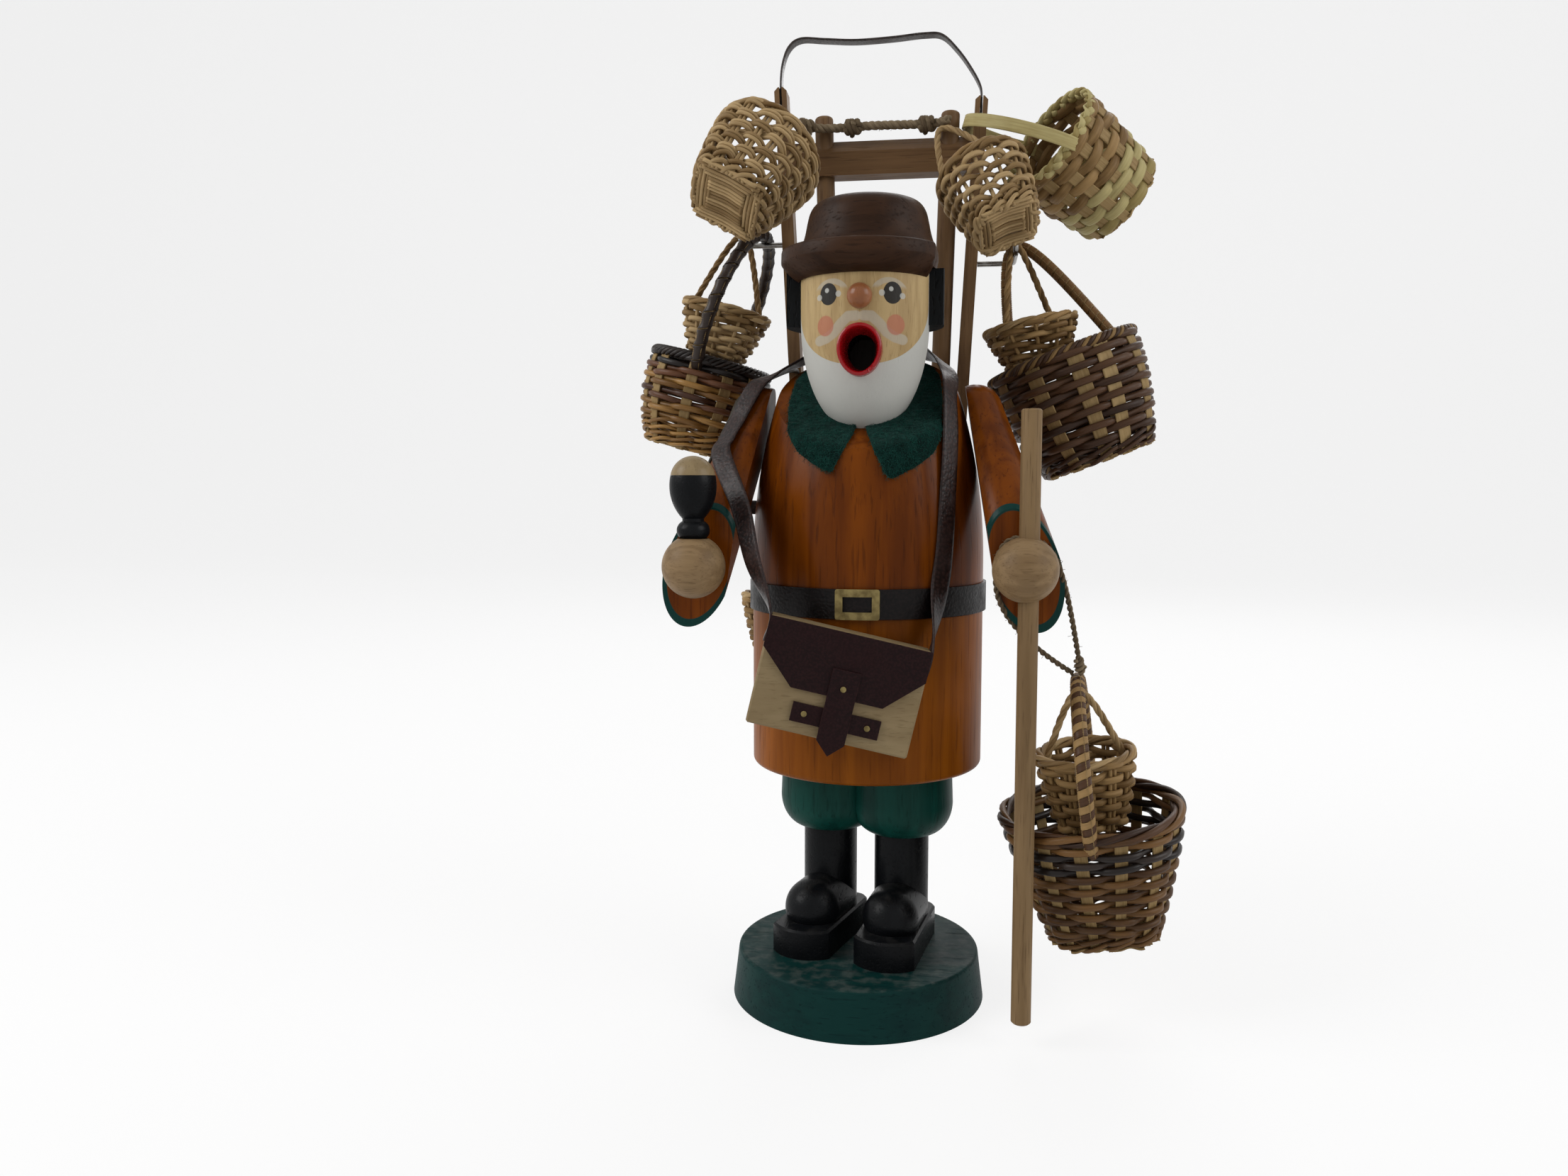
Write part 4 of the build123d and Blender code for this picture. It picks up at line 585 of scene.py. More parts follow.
@dataclass(frozen=True)
class MetalFinish(Finish):
    """Stamped or drawn metal, dulled by handling."""

    name: str
    bright: Colour
    dull: Colour
    rough: Pair = (0.25, 0.5)

    def build(self) -> Material:
        """Wires the look.

        Returns:
            The material.
        """
        material, canvas, shader = new_material(self.name)
        cloud = canvas.noise(canvas.where(), 320.0, 4.0)
        # Painted highlight together with wear: rounded edges of the metal are mixed towards the bright colour.
        wear_and_highlight = canvas.effect(Effect.WEAR_AND_HIGHLIGHT, Width=0.3 * MM, Amount=0.8)
        tint = canvas.mix(canvas.spread(cloud, 0.35, 0.65), self.dull, self.bright)
        tint = canvas.mix(wear_and_highlight.outputs["Mask"], tint, self.bright)
        polish = canvas.spread(cloud, 0.3, 0.7, *self.rough)
        canvas.fill(shader, Base_Color=tint, Metallic=1.0, Roughness=polish)
        add_bump(canvas, shader, canvas.noise(canvas.where(), 1500.0, 2.0), 0.1 * MM, 0.15)
        return material


@dataclass(frozen=True)
class StrandFinish(Finish):
    """Willow, cane, splint or twine, with fibres along each strand."""

    name: str
    light: Colour
    dark: Colour
    streaks: float = 7.0
    rough: Pair = (0.42, 0.65)
    shine: float = 0.16
    bump: float = 0.5
    coat: float = 0.0

    def build(self) -> Material:
        """Wires the look.

        Returns:
            The material.
        """
        material, canvas, shader = new_material(self.name)
        fibre = canvas.effect(Effect.FIBRE, Light=self.light, Dark=self.dark, Streaks=self.streaks)
        canvas.fill(
            shader, Base_Color=fibre.outputs["Color"],
            Roughness=canvas.spread(fibre.outputs["Polish"], 0.2, 1.0, *self.rough), Specular_IOR_Level=self.shine,
            Coat_Weight=self.coat, Coat_Roughness=0.25,
        )
        add_bump(canvas, shader, fibre.outputs["Height"], WOOD_BUMP, self.bump)
        return material


@dataclass(frozen=True)
class FeltFinish(Finish):
    """Pressed wool felt with loose fibres."""

    name: str
    light: Colour
    dark: Colour

    def build(self) -> Material:
        """Wires the look.

        Returns:
            The material.
        """
        material, canvas, shader = new_material(self.name)
        place = canvas.where()
        lint = canvas.noise(place, 900.0, 6.0, 1.5)
        cloud = canvas.noise(place, 220.0, 3.0, 0.5)
        mixed = canvas.math("ADD", canvas.times(lint, 0.7), canvas.times(cloud, 0.4))
        canvas.fill(
            shader, Base_Color=canvas.mix(canvas.spread(mixed, 0.4, 0.75), self.dark, self.light),
            Roughness=canvas.spread(lint, 0.3, 0.7, 0.85, 1.0), Specular_IOR_Level=0.1, Sheen_Weight=0.12,
            Sheen_Roughness=0.5, Sheen_Tint=(0.25, 0.6, 0.5),
        )
        add_bump(canvas, shader, mixed, 0.5 * MM, 0.8)
        return material


@dataclass(frozen=True)
class FaceFinish(Finish):
    """Pale turned head with the painted doll's face: beard, eyes, brows, cheeks and moustache, and painted shade in
    the mouth's bore.
    """

    wood: WoodFinish
    name: str
    nose_z: float = NOSE_Z
    axis_y: float = HEAD_AXIS[1]
    white: Colour = (0.47, 0.47, 0.44)
    veil: Colour = (0.42, 0.37, 0.29)
    black: Colour = (0.006, 0.007, 0.009)
    pink: Colour = (0.42, 0.135, 0.085)
    bore_shade: Colour = (0.02, 0.012, 0.008)
    beard_half: float = 20.6
    beard_curve: float = 2.4
    mouth: Pair = (6.2, 7.192)
    moustache: tuple[Pair, ...] = ((1.2, -5.9), (3.6, -6.0), (6.0, -8.2), (8.2, -10.8), (10.6, -12.3), (12.9, -12.9))
    hair_half: float = 1.75
    hair_blur: float = 0.35
    brow: Pair = (8.9, -0.4)
    brow_outer: Pair = (6.2, 6.3)
    brow_inner: Pair = (4.5, 4.6)
    spots: tuple[tuple[str, Pair, Pair, float, float], ...] = (
        ("pink", (10.9, -8.5), (2.9, 3.4), 0.16, 0.75), ("black", (9.9, 1.1), (2.8, 3.45), 0.05, 0.97),
        ("white", (6.7, 1.0), (0.95, 1.05), 0.15, 0.75), ("white", (12.9, 0.3), (0.9, 1.0), 0.15, 0.7),
    )
    glints: Pair = (-10.4, 9.5)
    glint_rise: float = 2.25
    glint_half: Triple = (0.85, 40.0, 0.95)

    def build(self) -> Material:
        """Wires the look.

        Returns:
            The material.
        """
        material, canvas, shader = new_material(self.name)
        tint, grain = self.wood.tint(canvas)
        whole = canvas.scaled(canvas.where(), 1 / MM)
        parts = canvas.add("ShaderNodeSeparateXYZ")
        canvas.feed(parts.inputs[0], whole)
        x, y, z = parts.outputs
        side = canvas.math("ABSOLUTE", x)
        drop = canvas.math("SUBTRACT", z, self.nose_z)
        place = canvas.fill(canvas.add("ShaderNodeCombineXYZ"), X=side, Z=drop).outputs[0]
        front = canvas.spread(y, self.axis_y - 1.0, self.axis_y - 1.5)

        def paint(base: object, colour: Colour, mask: object, share: float) -> object:
            """Lays a colour on the face where its mask is."""
            covered = canvas.times(canvas.times(mask, front), share)
            return canvas.mix(covered, base, colour)

        def spot(centre: Pair, half: Pair, blur: float) -> object:
            """Mask of an oval beside or below the nose.

            Args:
                centre: Distance from the middle, and height over the nose.
                half: Half width and half height.
                blur: Softness of its edge.

            Returns:
                The mask.
            """
            return canvas.effect(
                Effect.SPOT, Place=place, Centre=(centre[0], 0.0, centre[1]), Half=(half[0], 1.0, half[1]), Blur=blur,
            ).outputs["Mask"]

        strands = None
        for start, stop in zip(self.moustache, self.moustache[1:]):
            hair = canvas.effect(
                Effect.STROKE, Place=place, Start=(start[0], 0.0, start[1]), Stop=(stop[0], 0.0, stop[1]),
                Half_Width=self.hair_half, Blur=self.hair_blur,
            ).outputs["Mask"]
            strands = hair if strands is None else canvas.math("MAXIMUM", strands, hair)
        tint = paint(tint, self.veil, strands, 0.8)
        brow = canvas.math("SUBTRACT", spot(self.brow, self.brow_outer, 0.05), spot(self.brow, self.brow_inner, 0.06))
        brow = canvas.math("MULTIPLY", brow, canvas.spread(drop, 2.2, 3.6), clamp=True)
        tint = paint(tint, self.veil, brow, 0.75)
        for colour, centre, half, blur, share in self.spots:
            tint = paint(tint, getattr(self, colour), spot(centre, half, blur), share)
        for middle in self.glints:
            dot = canvas.effect(
                Effect.SPOT, Place=whole, Centre=(middle, self.axis_y, self.nose_z + self.glint_rise),
                Half=self.glint_half, Blur=0.2,
            )
            tint = paint(tint, self.white, dot.outputs["Mask"], 0.9)
        outline = canvas.math(
            "ADD", canvas.math("POWER", canvas.math("DIVIDE", side, self.beard_half), self.beard_curve),
            canvas.math(
                "POWER", canvas.math("MAXIMUM", canvas.math("DIVIDE", drop, -self.beard_half), 0.0), self.beard_curve,
            ),
        )
        beard = canvas.math("MAXIMUM", canvas.spread(outline, 0.985, 1.0), canvas.math("SUBTRACT", 1.0, front))
        tint = canvas.mix(canvas.times(beard, 0.97), tint, self.white)
        # Painted shade: a near-black oval colours the head inside the mouth ring, the bore and its closing cap.
        tint = canvas.mix(spot((0.0, MOUTH_Z - self.nose_z), self.mouth, 0.1), tint, self.bore_shade)
        polish = canvas.spread(beard, 0.0, 1.0, 0.42, 0.5)
        canvas.fill(shader, Base_Color=tint, Roughness=polish, Specular_IOR_Level=self.wood.shine)
        add_bump(canvas, shader, grain.outputs["Height"], WOOD_BUMP, 0.22)
        return material


# The upper coat's own stain, darkened further as painted shade for the dim front of the chest; the arms share it.
SHADE_DARKENED_COAT = WoodFinish(
    "coat_wood", (0.175, 0.042, 0.0016), (0.08, 0.0165, 0.0008), (0.034, 0.0066, 0.0004), stretch=(150.0, 150.0, 7.0),
    rough=(0.28, 0.42), shine=0.06, coat=0.05, coat_rough=0.18, bump=0.14,
)
LOWER_COAT = WoodFinish(
    "lower_coat_wood", (0.24, 0.068, 0.0035), (0.14, 0.036, 0.0018), (0.066, 0.016, 0.001),
    stretch=(150.0, 150.0, 7.0), rough=(0.36, 0.5), shine=0.06, coat=0.03, coat_rough=0.3, bump=0.14,
)
# The paler edge colours given below are partly rubbed wear and partly painted highlight.
GREEN = WoodFinish(
    "green_stain", (0.004, 0.052, 0.04), (0.0015, 0.027, 0.021), (0.001, 0.012, 0.01), stretch=(160.0, 160.0, 12.0),
    rough=(0.4, 0.58), shine=0.1, bump=0.2, paler=(0.03, 0.09, 0.075), wear_and_highlight_amount=0.3,
)
BASE = WoodFinish(
    "base_stain", (0.0025, 0.028, 0.025), (0.001, 0.0155, 0.0155), (0.0006, 0.008, 0.009),
    stretch=(14.0, 170.0, 170.0), rough=(0.5, 0.68), shine=0.08, bump=0.22, paler=(0.035, 0.08, 0.072),
    wear_and_highlight_amount=0.35, dust=0.06,
)
BLACK = WoodFinish(
    "black_lacquer", (0.0045, 0.005, 0.006), (0.0022, 0.0026, 0.0032), (0.001, 0.0012, 0.0015),
    stretch=(170.0, 20.0, 170.0), rough=(0.34, 0.5), shine=0.08, coat=0.03, bump=0.3, paler=(0.05, 0.045, 0.04),
    wear_and_highlight_amount=0.25, dust=0.02,
)
CAP = WoodFinish(
    "walnut_stain", (0.042, 0.019, 0.0095), (0.018, 0.008, 0.004), (0.007, 0.003, 0.0016),
    stretch=(16.0, 170.0, 170.0), rough=(0.4, 0.56), shine=0.08, bump=0.3, paler=(0.12, 0.08, 0.05), wear_and_highlight_amount=0.35,
    dust=0.04,
)
BEECH = WoodFinish(
    "natural_beech", (0.225, 0.145, 0.07), (0.145, 0.088, 0.04), (0.07, 0.038, 0.017), stretch=(260.0, 260.0, 12.0),
    rough=(0.5, 0.66), bump=0.3,
)
FRAME = WoodFinish(
    "frame_beech", (0.19, 0.11, 0.052), (0.118, 0.064, 0.028), (0.058, 0.029, 0.013), stretch=(230.0, 230.0, 10.0),
    rough=(0.5, 0.68), bump=0.3,
)
CROSSBAR = WoodFinish(
    "crossbar_beech", (0.155, 0.084, 0.036), (0.092, 0.047, 0.019), (0.045, 0.022, 0.009),
    stretch=(10.0, 230.0, 230.0), rough=(0.5, 0.68), bump=0.3,
)
HAND = WoodFinish(
    "hand_beech", (0.26, 0.172, 0.088), (0.165, 0.102, 0.048), (0.085, 0.047, 0.021), stretch=(18.0, 300.0, 300.0),
    rough=(0.45, 0.6),
)
MAPLE = WoodFinish(
    "bag_maple", (0.255, 0.19, 0.102), (0.19, 0.135, 0.068), (0.11, 0.072, 0.034), stretch=(12.0, 260.0, 260.0),
    figure=0.6, rough=(0.5, 0.66), bump=0.2,
)
LID = WoodFinish(
    "pipe_lid_maple", (0.27, 0.2, 0.105), (0.2, 0.14, 0.07), (0.12, 0.078, 0.036), stretch=(200.0, 200.0, 16.0),
    figure=0.6, rough=(0.36, 0.5), coat=0.08,
)
HAIR = WoodFinish(
    "black_hair", (0.006, 0.007, 0.008), (0.002, 0.0025, 0.003), (0.001, 0.001, 0.001), stretch=(60.0, 900.0, 40.0),
    rough=(0.6, 0.8), shine=0.1, bump=0.7,
)
CUFF = (0.004, 0.034, 0.029)
NOSE = WoodFinish(
    "nose_cherry", (0.3, 0.118, 0.048), (0.19, 0.064, 0.024), (0.1, 0.03, 0.012), stretch=(150.0, 150.0, 40.0),
    figure=0.6, rough=(0.28, 0.42), coat=0.2, bump=0.08,
)
RED = WoodFinish(
    "red_lacquer", (0.33, 0.004, 0.007), (0.2, 0.002, 0.004), (0.08, 0.001, 0.002), stretch=(120.0, 120.0, 120.0),
    figure=0.5, rough=(0.24, 0.36), coat=0.3, coat_rough=0.12, bump=0.1,
)
FACE = FaceFinish(
    WoodFinish(
        "face_maple", (0.47, 0.34, 0.165), (0.33, 0.22, 0.098), (0.2, 0.125, 0.052), stretch=(300.0, 300.0, 30.0),
        figure=0.7,
    ),
    "painted_face",
)
LEATHER = LeatherFinish("brown_leather", (0.03, 0.0145, 0.012), (0.0075, 0.0036, 0.0031), paler=(0.07, 0.042, 0.034))
BELT = LeatherFinish(
    "belt_leather", (0.0062, 0.0036, 0.0034), (0.0018, 0.0011, 0.0011), shine=0.14, paler=(0.03, 0.018, 0.015),
)
BAG_LEATHER = LeatherFinish(
    "bag_leather", (0.015, 0.0046, 0.005), (0.008, 0.0024, 0.0027), fineness=1500.0, rough=(0.5, 0.66), shine=0.1,
    bump=0.35, paler=(0.05, 0.02, 0.018),
)
OLIVE = LeatherFinish(
    "olive_leather", (0.03, 0.025, 0.015), (0.012, 0.01, 0.006), fineness=1700.0, rough=(0.4, 0.6), bump=0.3,
)
GREY_LEATHER = LeatherFinish(
    "handle_leather", (0.06, 0.047, 0.042), (0.022, 0.017, 0.015), fineness=1500.0, rough=(0.32, 0.5), bump=0.4,
)
BRASS = MetalFinish("dull_brass", (0.23, 0.18, 0.075), (0.11, 0.082, 0.034), rough=(0.34, 0.55))
STEEL = MetalFinish("bent_steel", (0.4, 0.39, 0.37), (0.2, 0.19, 0.18))
FELT = FeltFinish("collar_felt", (0.004, 0.031, 0.024), (0.0008, 0.0078, 0.0064))
LINT = FeltFinish("collar_lint", (0.01, 0.07, 0.054), (0.003, 0.026, 0.02))
PALE = StrandFinish("pale_willow", (0.44, 0.305, 0.15), (0.18, 0.108, 0.042))
TAN = StrandFinish("tan_willow", (0.32, 0.2, 0.082), (0.125, 0.068, 0.022))
HONEY = StrandFinish("honey_willow", (0.345, 0.185, 0.05), (0.135, 0.062, 0.014), rough=(0.28, 0.5), coat=0.12)
RUSSET = StrandFinish("russet_willow", (0.125, 0.05, 0.021), (0.045, 0.017, 0.008), rough=(0.3, 0.52), coat=0.1)
BROWN = StrandFinish("brown_willow", (0.078, 0.036, 0.0155), (0.024, 0.0105, 0.005), rough=(0.36, 0.58), coat=0.06)
RUSHES = StrandFinish("rush_brown", (0.165, 0.082, 0.026), (0.048, 0.021, 0.007), rough=(0.38, 0.6), coat=0.06)
BARK = StrandFinish("bark_willow", (0.028, 0.018, 0.0135), (0.0075, 0.005, 0.0042), rough=(0.3, 0.5), coat=0.12)
SPLINT = StrandFinish("flat_splint", (0.37, 0.255, 0.115), (0.18, 0.112, 0.042), streaks=12.0, rough=(0.5, 0.7))
STRAW = StrandFinish("green_straw", (0.47, 0.4, 0.185), (0.29, 0.22, 0.08), streaks=10.0)
HEMP = StrandFinish(
    "hemp_twine", (0.25, 0.19, 0.118), (0.095, 0.066, 0.038), streaks=9.0, rough=(0.75, 0.95), bump=0.8,
)


def link(name: str, data: bpy.types.ID) -> Thing:
    """Puts a mesh, lamp or camera into the scene.

    Args:
        name: The object's name.
        data: What it holds.

    Returns:
        The new object.
    """
    thing = bpy.data.objects.new(name, data)
    bpy.context.scene.collection.objects.link(thing)
    return thing


def declare(piece: Thing, body: str, slot: str, *nodes: str) -> Thing:
    """Says what carries a piece and which solids it stands for.

    Args:
        piece: The piece.
        body: The body that carries it.
        slot: Not used.
        *nodes: The solids that it replaces.

    Returns:
        The same piece.
    """
    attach(piece, body)
    if nodes:
        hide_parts(*nodes)
    return piece


def unit(rows: Array) -> Array:
    """Rows of vectors, each at length 1."""
    return rows / np.maximum(np.linalg.norm(rows, axis=-1, keepdims=True), 1e-12)


def gone_along(path: Array) -> Array:
    """Length gone at each point of a path."""
    return np.concatenate(([0.0], np.cumsum(np.linalg.norm(np.diff(path, axis=0), axis=1))))


def round_section(radius: float, tall: float | None = None, sides: int = ROD_SIDES) -> Array:
    """Corners of a rod's oval cross-section, as side and outward distances."""
    turn = np.arange(sides) * 2 * math.pi / sides
    return np.stack((radius * np.cos(turn), (tall or radius) * np.sin(turn)), axis=1)


def flat_section(width: float, thick: float, ribs: int, depth: float) -> Array:
    """Cross-section of a splint or strap with soft edges and ribs along its faces.

    Args:
        width: Full width, in millimetres.
        thick: Full thickness.
        ribs: Number of ribs.
        depth: Depth of the grooves between them.

    Returns:
        Corners as side and outward distances.
    """
    count = max(2 * ribs, 4)
    across = np.linspace(-0.5, 0.5, count + 1) * width * 0.94
    groove = depth * (0.5 - 0.5 * np.cos(np.linspace(0, ribs * 2 * math.pi, count + 1)))
    high = thick / 2 - groove
    top = np.stack((across[::-1], high[::-1]), axis=1)
    low = np.stack((across, -high), axis=1)
    return np.concatenate(([[width / 2, 0.0]], top, [[-width / 2, 0.0]], low))


class StrandMesh:
    """Gathers swept strands into one mesh."""

    def __init__(self) -> None:
        """Starts with no strand."""
        self.corners: list[Array] = []
        self.faces: list[list[int]] = []
        self.lengths: list[Array] = []
        self.tones: list[Array] = []
        self.finish_of: list[int] = []
        self.finishes: list[Finish] = []
        self.count = 0

    def add(
        self, path: Array, outward: Array, section: Array, finish: Finish, tone: float, closed: bool = False,
        scale: Array | None = None,
    ) -> None:
        """Sweeps a cross-section along a path.

        Args:
            path: Points of the path, in millimetres.
            outward: Direction of the section's outward axis at each point.
            section: Corners of the section.
            finish: The strand's finish.
            tone: The strand's own shade, 0 to 1.
            closed: Whether the path runs into its own start.
            scale: Size of the section at each point.
        """
        steps = np.roll(path, -1, 0) - np.roll(path, 1, 0) if closed else np.gradient(path, axis=0)
        heading = unit(steps)
        side = unit(np.cross(heading, outward))
        out = np.cross(side, heading)
        size = np.ones(len(path)) if scale is None else scale
        spread = side[:, None, :] * section[None, :, :1] * size[:, None, None]
        lift = out[:, None, :] * section[None, :, 1:] * size[:, None, None]
        rings = path[:, None, :] + spread + lift
        rows, sides = len(path), len(section)
        if finish not in self.finishes:
            self.finishes.append(finish)
        slot = self.finishes.index(finish)
        gone = gone_along(path) * MM
        spans = rows if closed else rows - 1
        around = np.arange(sides)
        after = (around + 1) % sides
        here = self.count + np.arange(spans)[:, None] * sides
        there = self.count + (np.arange(spans)[:, None] + 1) % rows * sides
        quads = np.stack((here + around, there + around, there + after, here + after), axis=-1).reshape(-1, 4)
        self.faces.extend(quads.tolist())
        start = np.repeat(gone[:spans], sides)
        end = np.repeat(np.append(gone[1:], gone[-1] + gone[1])[:spans], sides)
        turn = np.tile(around / sides, spans)
        edge = turn + 1.0 / sides
        corners = ((start, turn), (end, turn), (end, edge), (start, edge))
        self.lengths.append(np.stack([np.stack(corner, 1) for corner in corners], axis=1).reshape(-1, 2))
        self.finish_of.extend([slot] * len(quads))
        if not closed:
            base = self.count
            last = base + (rows - 1) * sides
            self.faces.append(list(range(base, base + sides)))
            self.faces.append(list(range(last + sides - 1, last - 1, -1)))
            self.lengths.append(np.zeros((2 * sides, 2)))
            self.finish_of.extend([slot] * 2)
        self.corners.append(rings.reshape(-1, 3))
        self.tones.append(np.full(rows * sides, tone))
        self.count += rows * sides

    def build(self, name: str) -> Thing:
        """Makes the mesh object.

        Args:
            name: The piece's name.

        Returns:
            The new object, in metres.
        """
        mesh = bpy.data.meshes.new(name)
        mesh.from_pydata((np.concatenate(self.corners) * MM).tolist(), [], self.faces)
        layer = mesh.uv_layers.new(name="strand")
        layer.data.foreach_set("uv", np.concatenate(self.lengths).astype(np.float32).ravel())
        tone = mesh.attributes.new("tone", "FLOAT", "POINT")
        tone.data.foreach_set("value", np.concatenate(self.tones).astype(np.float32))
        for finish in self.finishes:
            mesh.materials.append(finish.material())
        mesh.polygons.foreach_set("material_index", np.array(self.finish_of, np.int32))
        mesh.shade_smooth()
        mesh.update()
        LOG.info("%s: %d faces", name, len(mesh.polygons))
        return link(name, mesh)


def carried_normals(path: Array, start: Array) -> Array:
    """Normals carried along a path without twisting.

    Args:
        path: Points of the path.
        start: A direction near the first normal.

    Returns:
        One normal for each point.
    """
    heading = unit(np.gradient(path, axis=0))
    normals = np.empty_like(path)
    normal = start
    for index, forward in enumerate(heading):
        normal = normal - forward * float(normal @ forward)
        normal = normal / np.linalg.norm(normal)
        normals[index] = normal
    return normals


def arc_through(start: Array, top: Array, end: Array, count: int) -> Array:
    """Points of the circle through three points.

    Args:
        start: Its first point.
        top: A point between.
        end: Its last point.
        count: How many points.

    Returns:
        The points, evenly spaced.
    """
    first, second = top - start, end - start
    normal = np.cross(first, second)
    centre = start + (
        np.cross(normal, first) * (second @ second) + np.cross(second, normal) * (first @ first)
    ) / (2 * (normal @ normal))
    axis = normal / np.linalg.norm(normal)
    arm = start - centre
    side = np.cross(axis, arm)
    sweep = math.atan2(float((end - centre) @ side), float((end - centre) @ arm)) % (2 * math.pi)
    turn = np.linspace(0, sweep, count)[:, None]
    return centre + arm * np.cos(turn) + side * np.sin(turn)


def bow_through(start: Array, top: Array, end: Array, bend: float, count: int) -> Array:
    """Points of a bent rod: straight legs that run into a rounded crown.

    Args:
        start: Foot of one leg.
        top: Highest point of the crown.
        end: Foot of the other leg.
        bend: Radius of the crown.
        count: How many points.

    Returns:
        The points.
    """
    corner = top
    for _ in range(20):
        one, two = unit(start - corner), unit(end - corner)
        middle = unit(one + two)
        half = math.acos(float(one @ middle))
        corner = top - middle * bend * (1 / math.sin(half) - 1)
    centre = (start + end) / 2
    pull = float(np.linalg.norm(top - centre) / np.linalg.norm(corner - top))
    share = np.linspace(0, 1, count)[:, None]
    weights = ((1 - share) ** 2, 2 * pull * share * (1 - share), share**2)
    return (weights[0] * start + weights[1] * corner + weights[2] * end) / sum(weights)


def even(path: Array, step: float) -> Array:
    """Points of a path at an even step.

    Args:
        path: The path.
        step: Distance between points.

    Returns:
        The evenly spaced points.
    """
    gone = gone_along(path)
    wanted = np.linspace(0, gone[-1], max(4, int(round(gone[-1] / step)) + 1))
    return np.stack([np.interp(wanted, gone, path[:, axis]) for axis in range(3)], axis=1)


def twist_round(
    mesh: StrandMesh, path: Array, plies: int, reach: float, pitch: float, section: Array, finishes: Sequence[Finish],
    rng: Rng, phase: float = 0.0,
) -> None:
    """Winds strands round a path, as a rope's plies or a wrapping.

    Args:
        mesh: Where they go.
        path: The line that they follow, in millimetres.
        plies: How many strands.
        reach: Distance of a strand's middle from the line.
        pitch: Length of one full turn.
        section: Cross-section of a strand.
        finishes: Finish of each strand, repeated where there are fewer.
        rng: Source of their shades.
        phase: Turn at the start.
    """
    line = even(path, pitch / 10)
    normals = carried_normals(line, NORMAL_HINT)
    sides = np.cross(unit(np.gradient(line, axis=0)), normals)
    gone = gone_along(line)
    for ply in range(plies):
        turn = (phase + 2 * math.pi * (gone / pitch + ply / plies))[:, None]
        out = normals * np.cos(turn) + sides * np.sin(turn)
        mesh.add(line + out * reach, out, section, finishes[ply % len(finishes)], rng.random())


class Weave(Enum):
    """How a row of weavers passes the stakes."""

    PLAIN = "over and under"
    TWINED = "two strands that cross between the stakes"


class BorderKind(Enum):
    """How a basket's rim is closed."""

    ROPE = "twisted border"
    WRAPPED = "wrapped hoop"
    BRAID = "flat braid"


class HandleKind(Enum):
    """How a basket's handle is made."""

    ROPE = "twisted rods"
    WRAPPED = "core wrapped with a splint"
    BAND = "flat splint band"


@dataclass(frozen=True)
class Band:
    """Some rows of the same weavers."""

    rows: int
    finish: Finish
    depth: float = 0.8
    rods: int = 1
    weave: Weave = Weave.PLAIN


@dataclass(frozen=True)
class Handle:
    """A basket's handle, from leg to leg over its top."""

    kind: HandleKind
    legs: tuple[Triple, Triple]
    top: Triple
    rod: float
    finish: Finish
    core: Finish | None = None
    bend: float = 0.0
    pitch: float = 4.0
    cover: float = 0.8
    second: Finish | None = None

    def line(self) -> Array:
        """Bends the handle's middle line.

        Returns:
            Its points, in millimetres.
        """
        start, end, top = map(np.array, (*self.legs, self.top))
        if self.bend == 0:
            return even(arc_through(start, top, end, 120), 0.8)
        return even(bow_through(start, top, end, self.bend, 160), 0.8)

    def weave(self, mesh: StrandMesh, rng: Rng) -> None:
        """Adds the handle's strands.

        Args:
            mesh: Where they go.
            rng: Source of their shades.
        """
        line = self.line()
        if self.kind is HandleKind.ROPE:
            rod = self.rod * 0.62
            twist_round(mesh, line, 3, self.rod * 0.5, 11.0, round_section(rod), (self.finish,), rng)
        elif self.kind is HandleKind.BAND:
            start, end, top = map(np.array, (*self.legs, self.top))
            out = np.cross(np.gradient(line, axis=0), np.cross(end - start, top - start))
            mesh.add(line, unit(out), flat_section(2 * self.rod, 1.0, 6, 0.12), self.finish, 0.4)
        else:
            normals = carried_normals(line, NORMAL_HINT)
            mesh.add(line, normals, flat_section(1.5 * self.rod, 1.5 * self.rod, 4, 0.15), self.core, 0.5)
            width = self.pitch * self.cover
            wrap = flat_section(width, 0.7, max(2, int(width / 0.7)), 0.16)
            finishes = (self.finish,) if self.second is None else (self.finish, self.second)
            pitch = self.pitch * len(finishes)
            twist_round(mesh, line, len(finishes), self.rod - 0.3, pitch, wrap, finishes, rng)


def rope_handle(legs: tuple[Triple, Triple], top: Triple, finish: Finish) -> Handle:
    """The thin twisted handle of the small baskets."""
    return Handle(HandleKind.ROPE, legs, top, rod=1.1, finish=finish, bend=5.0)


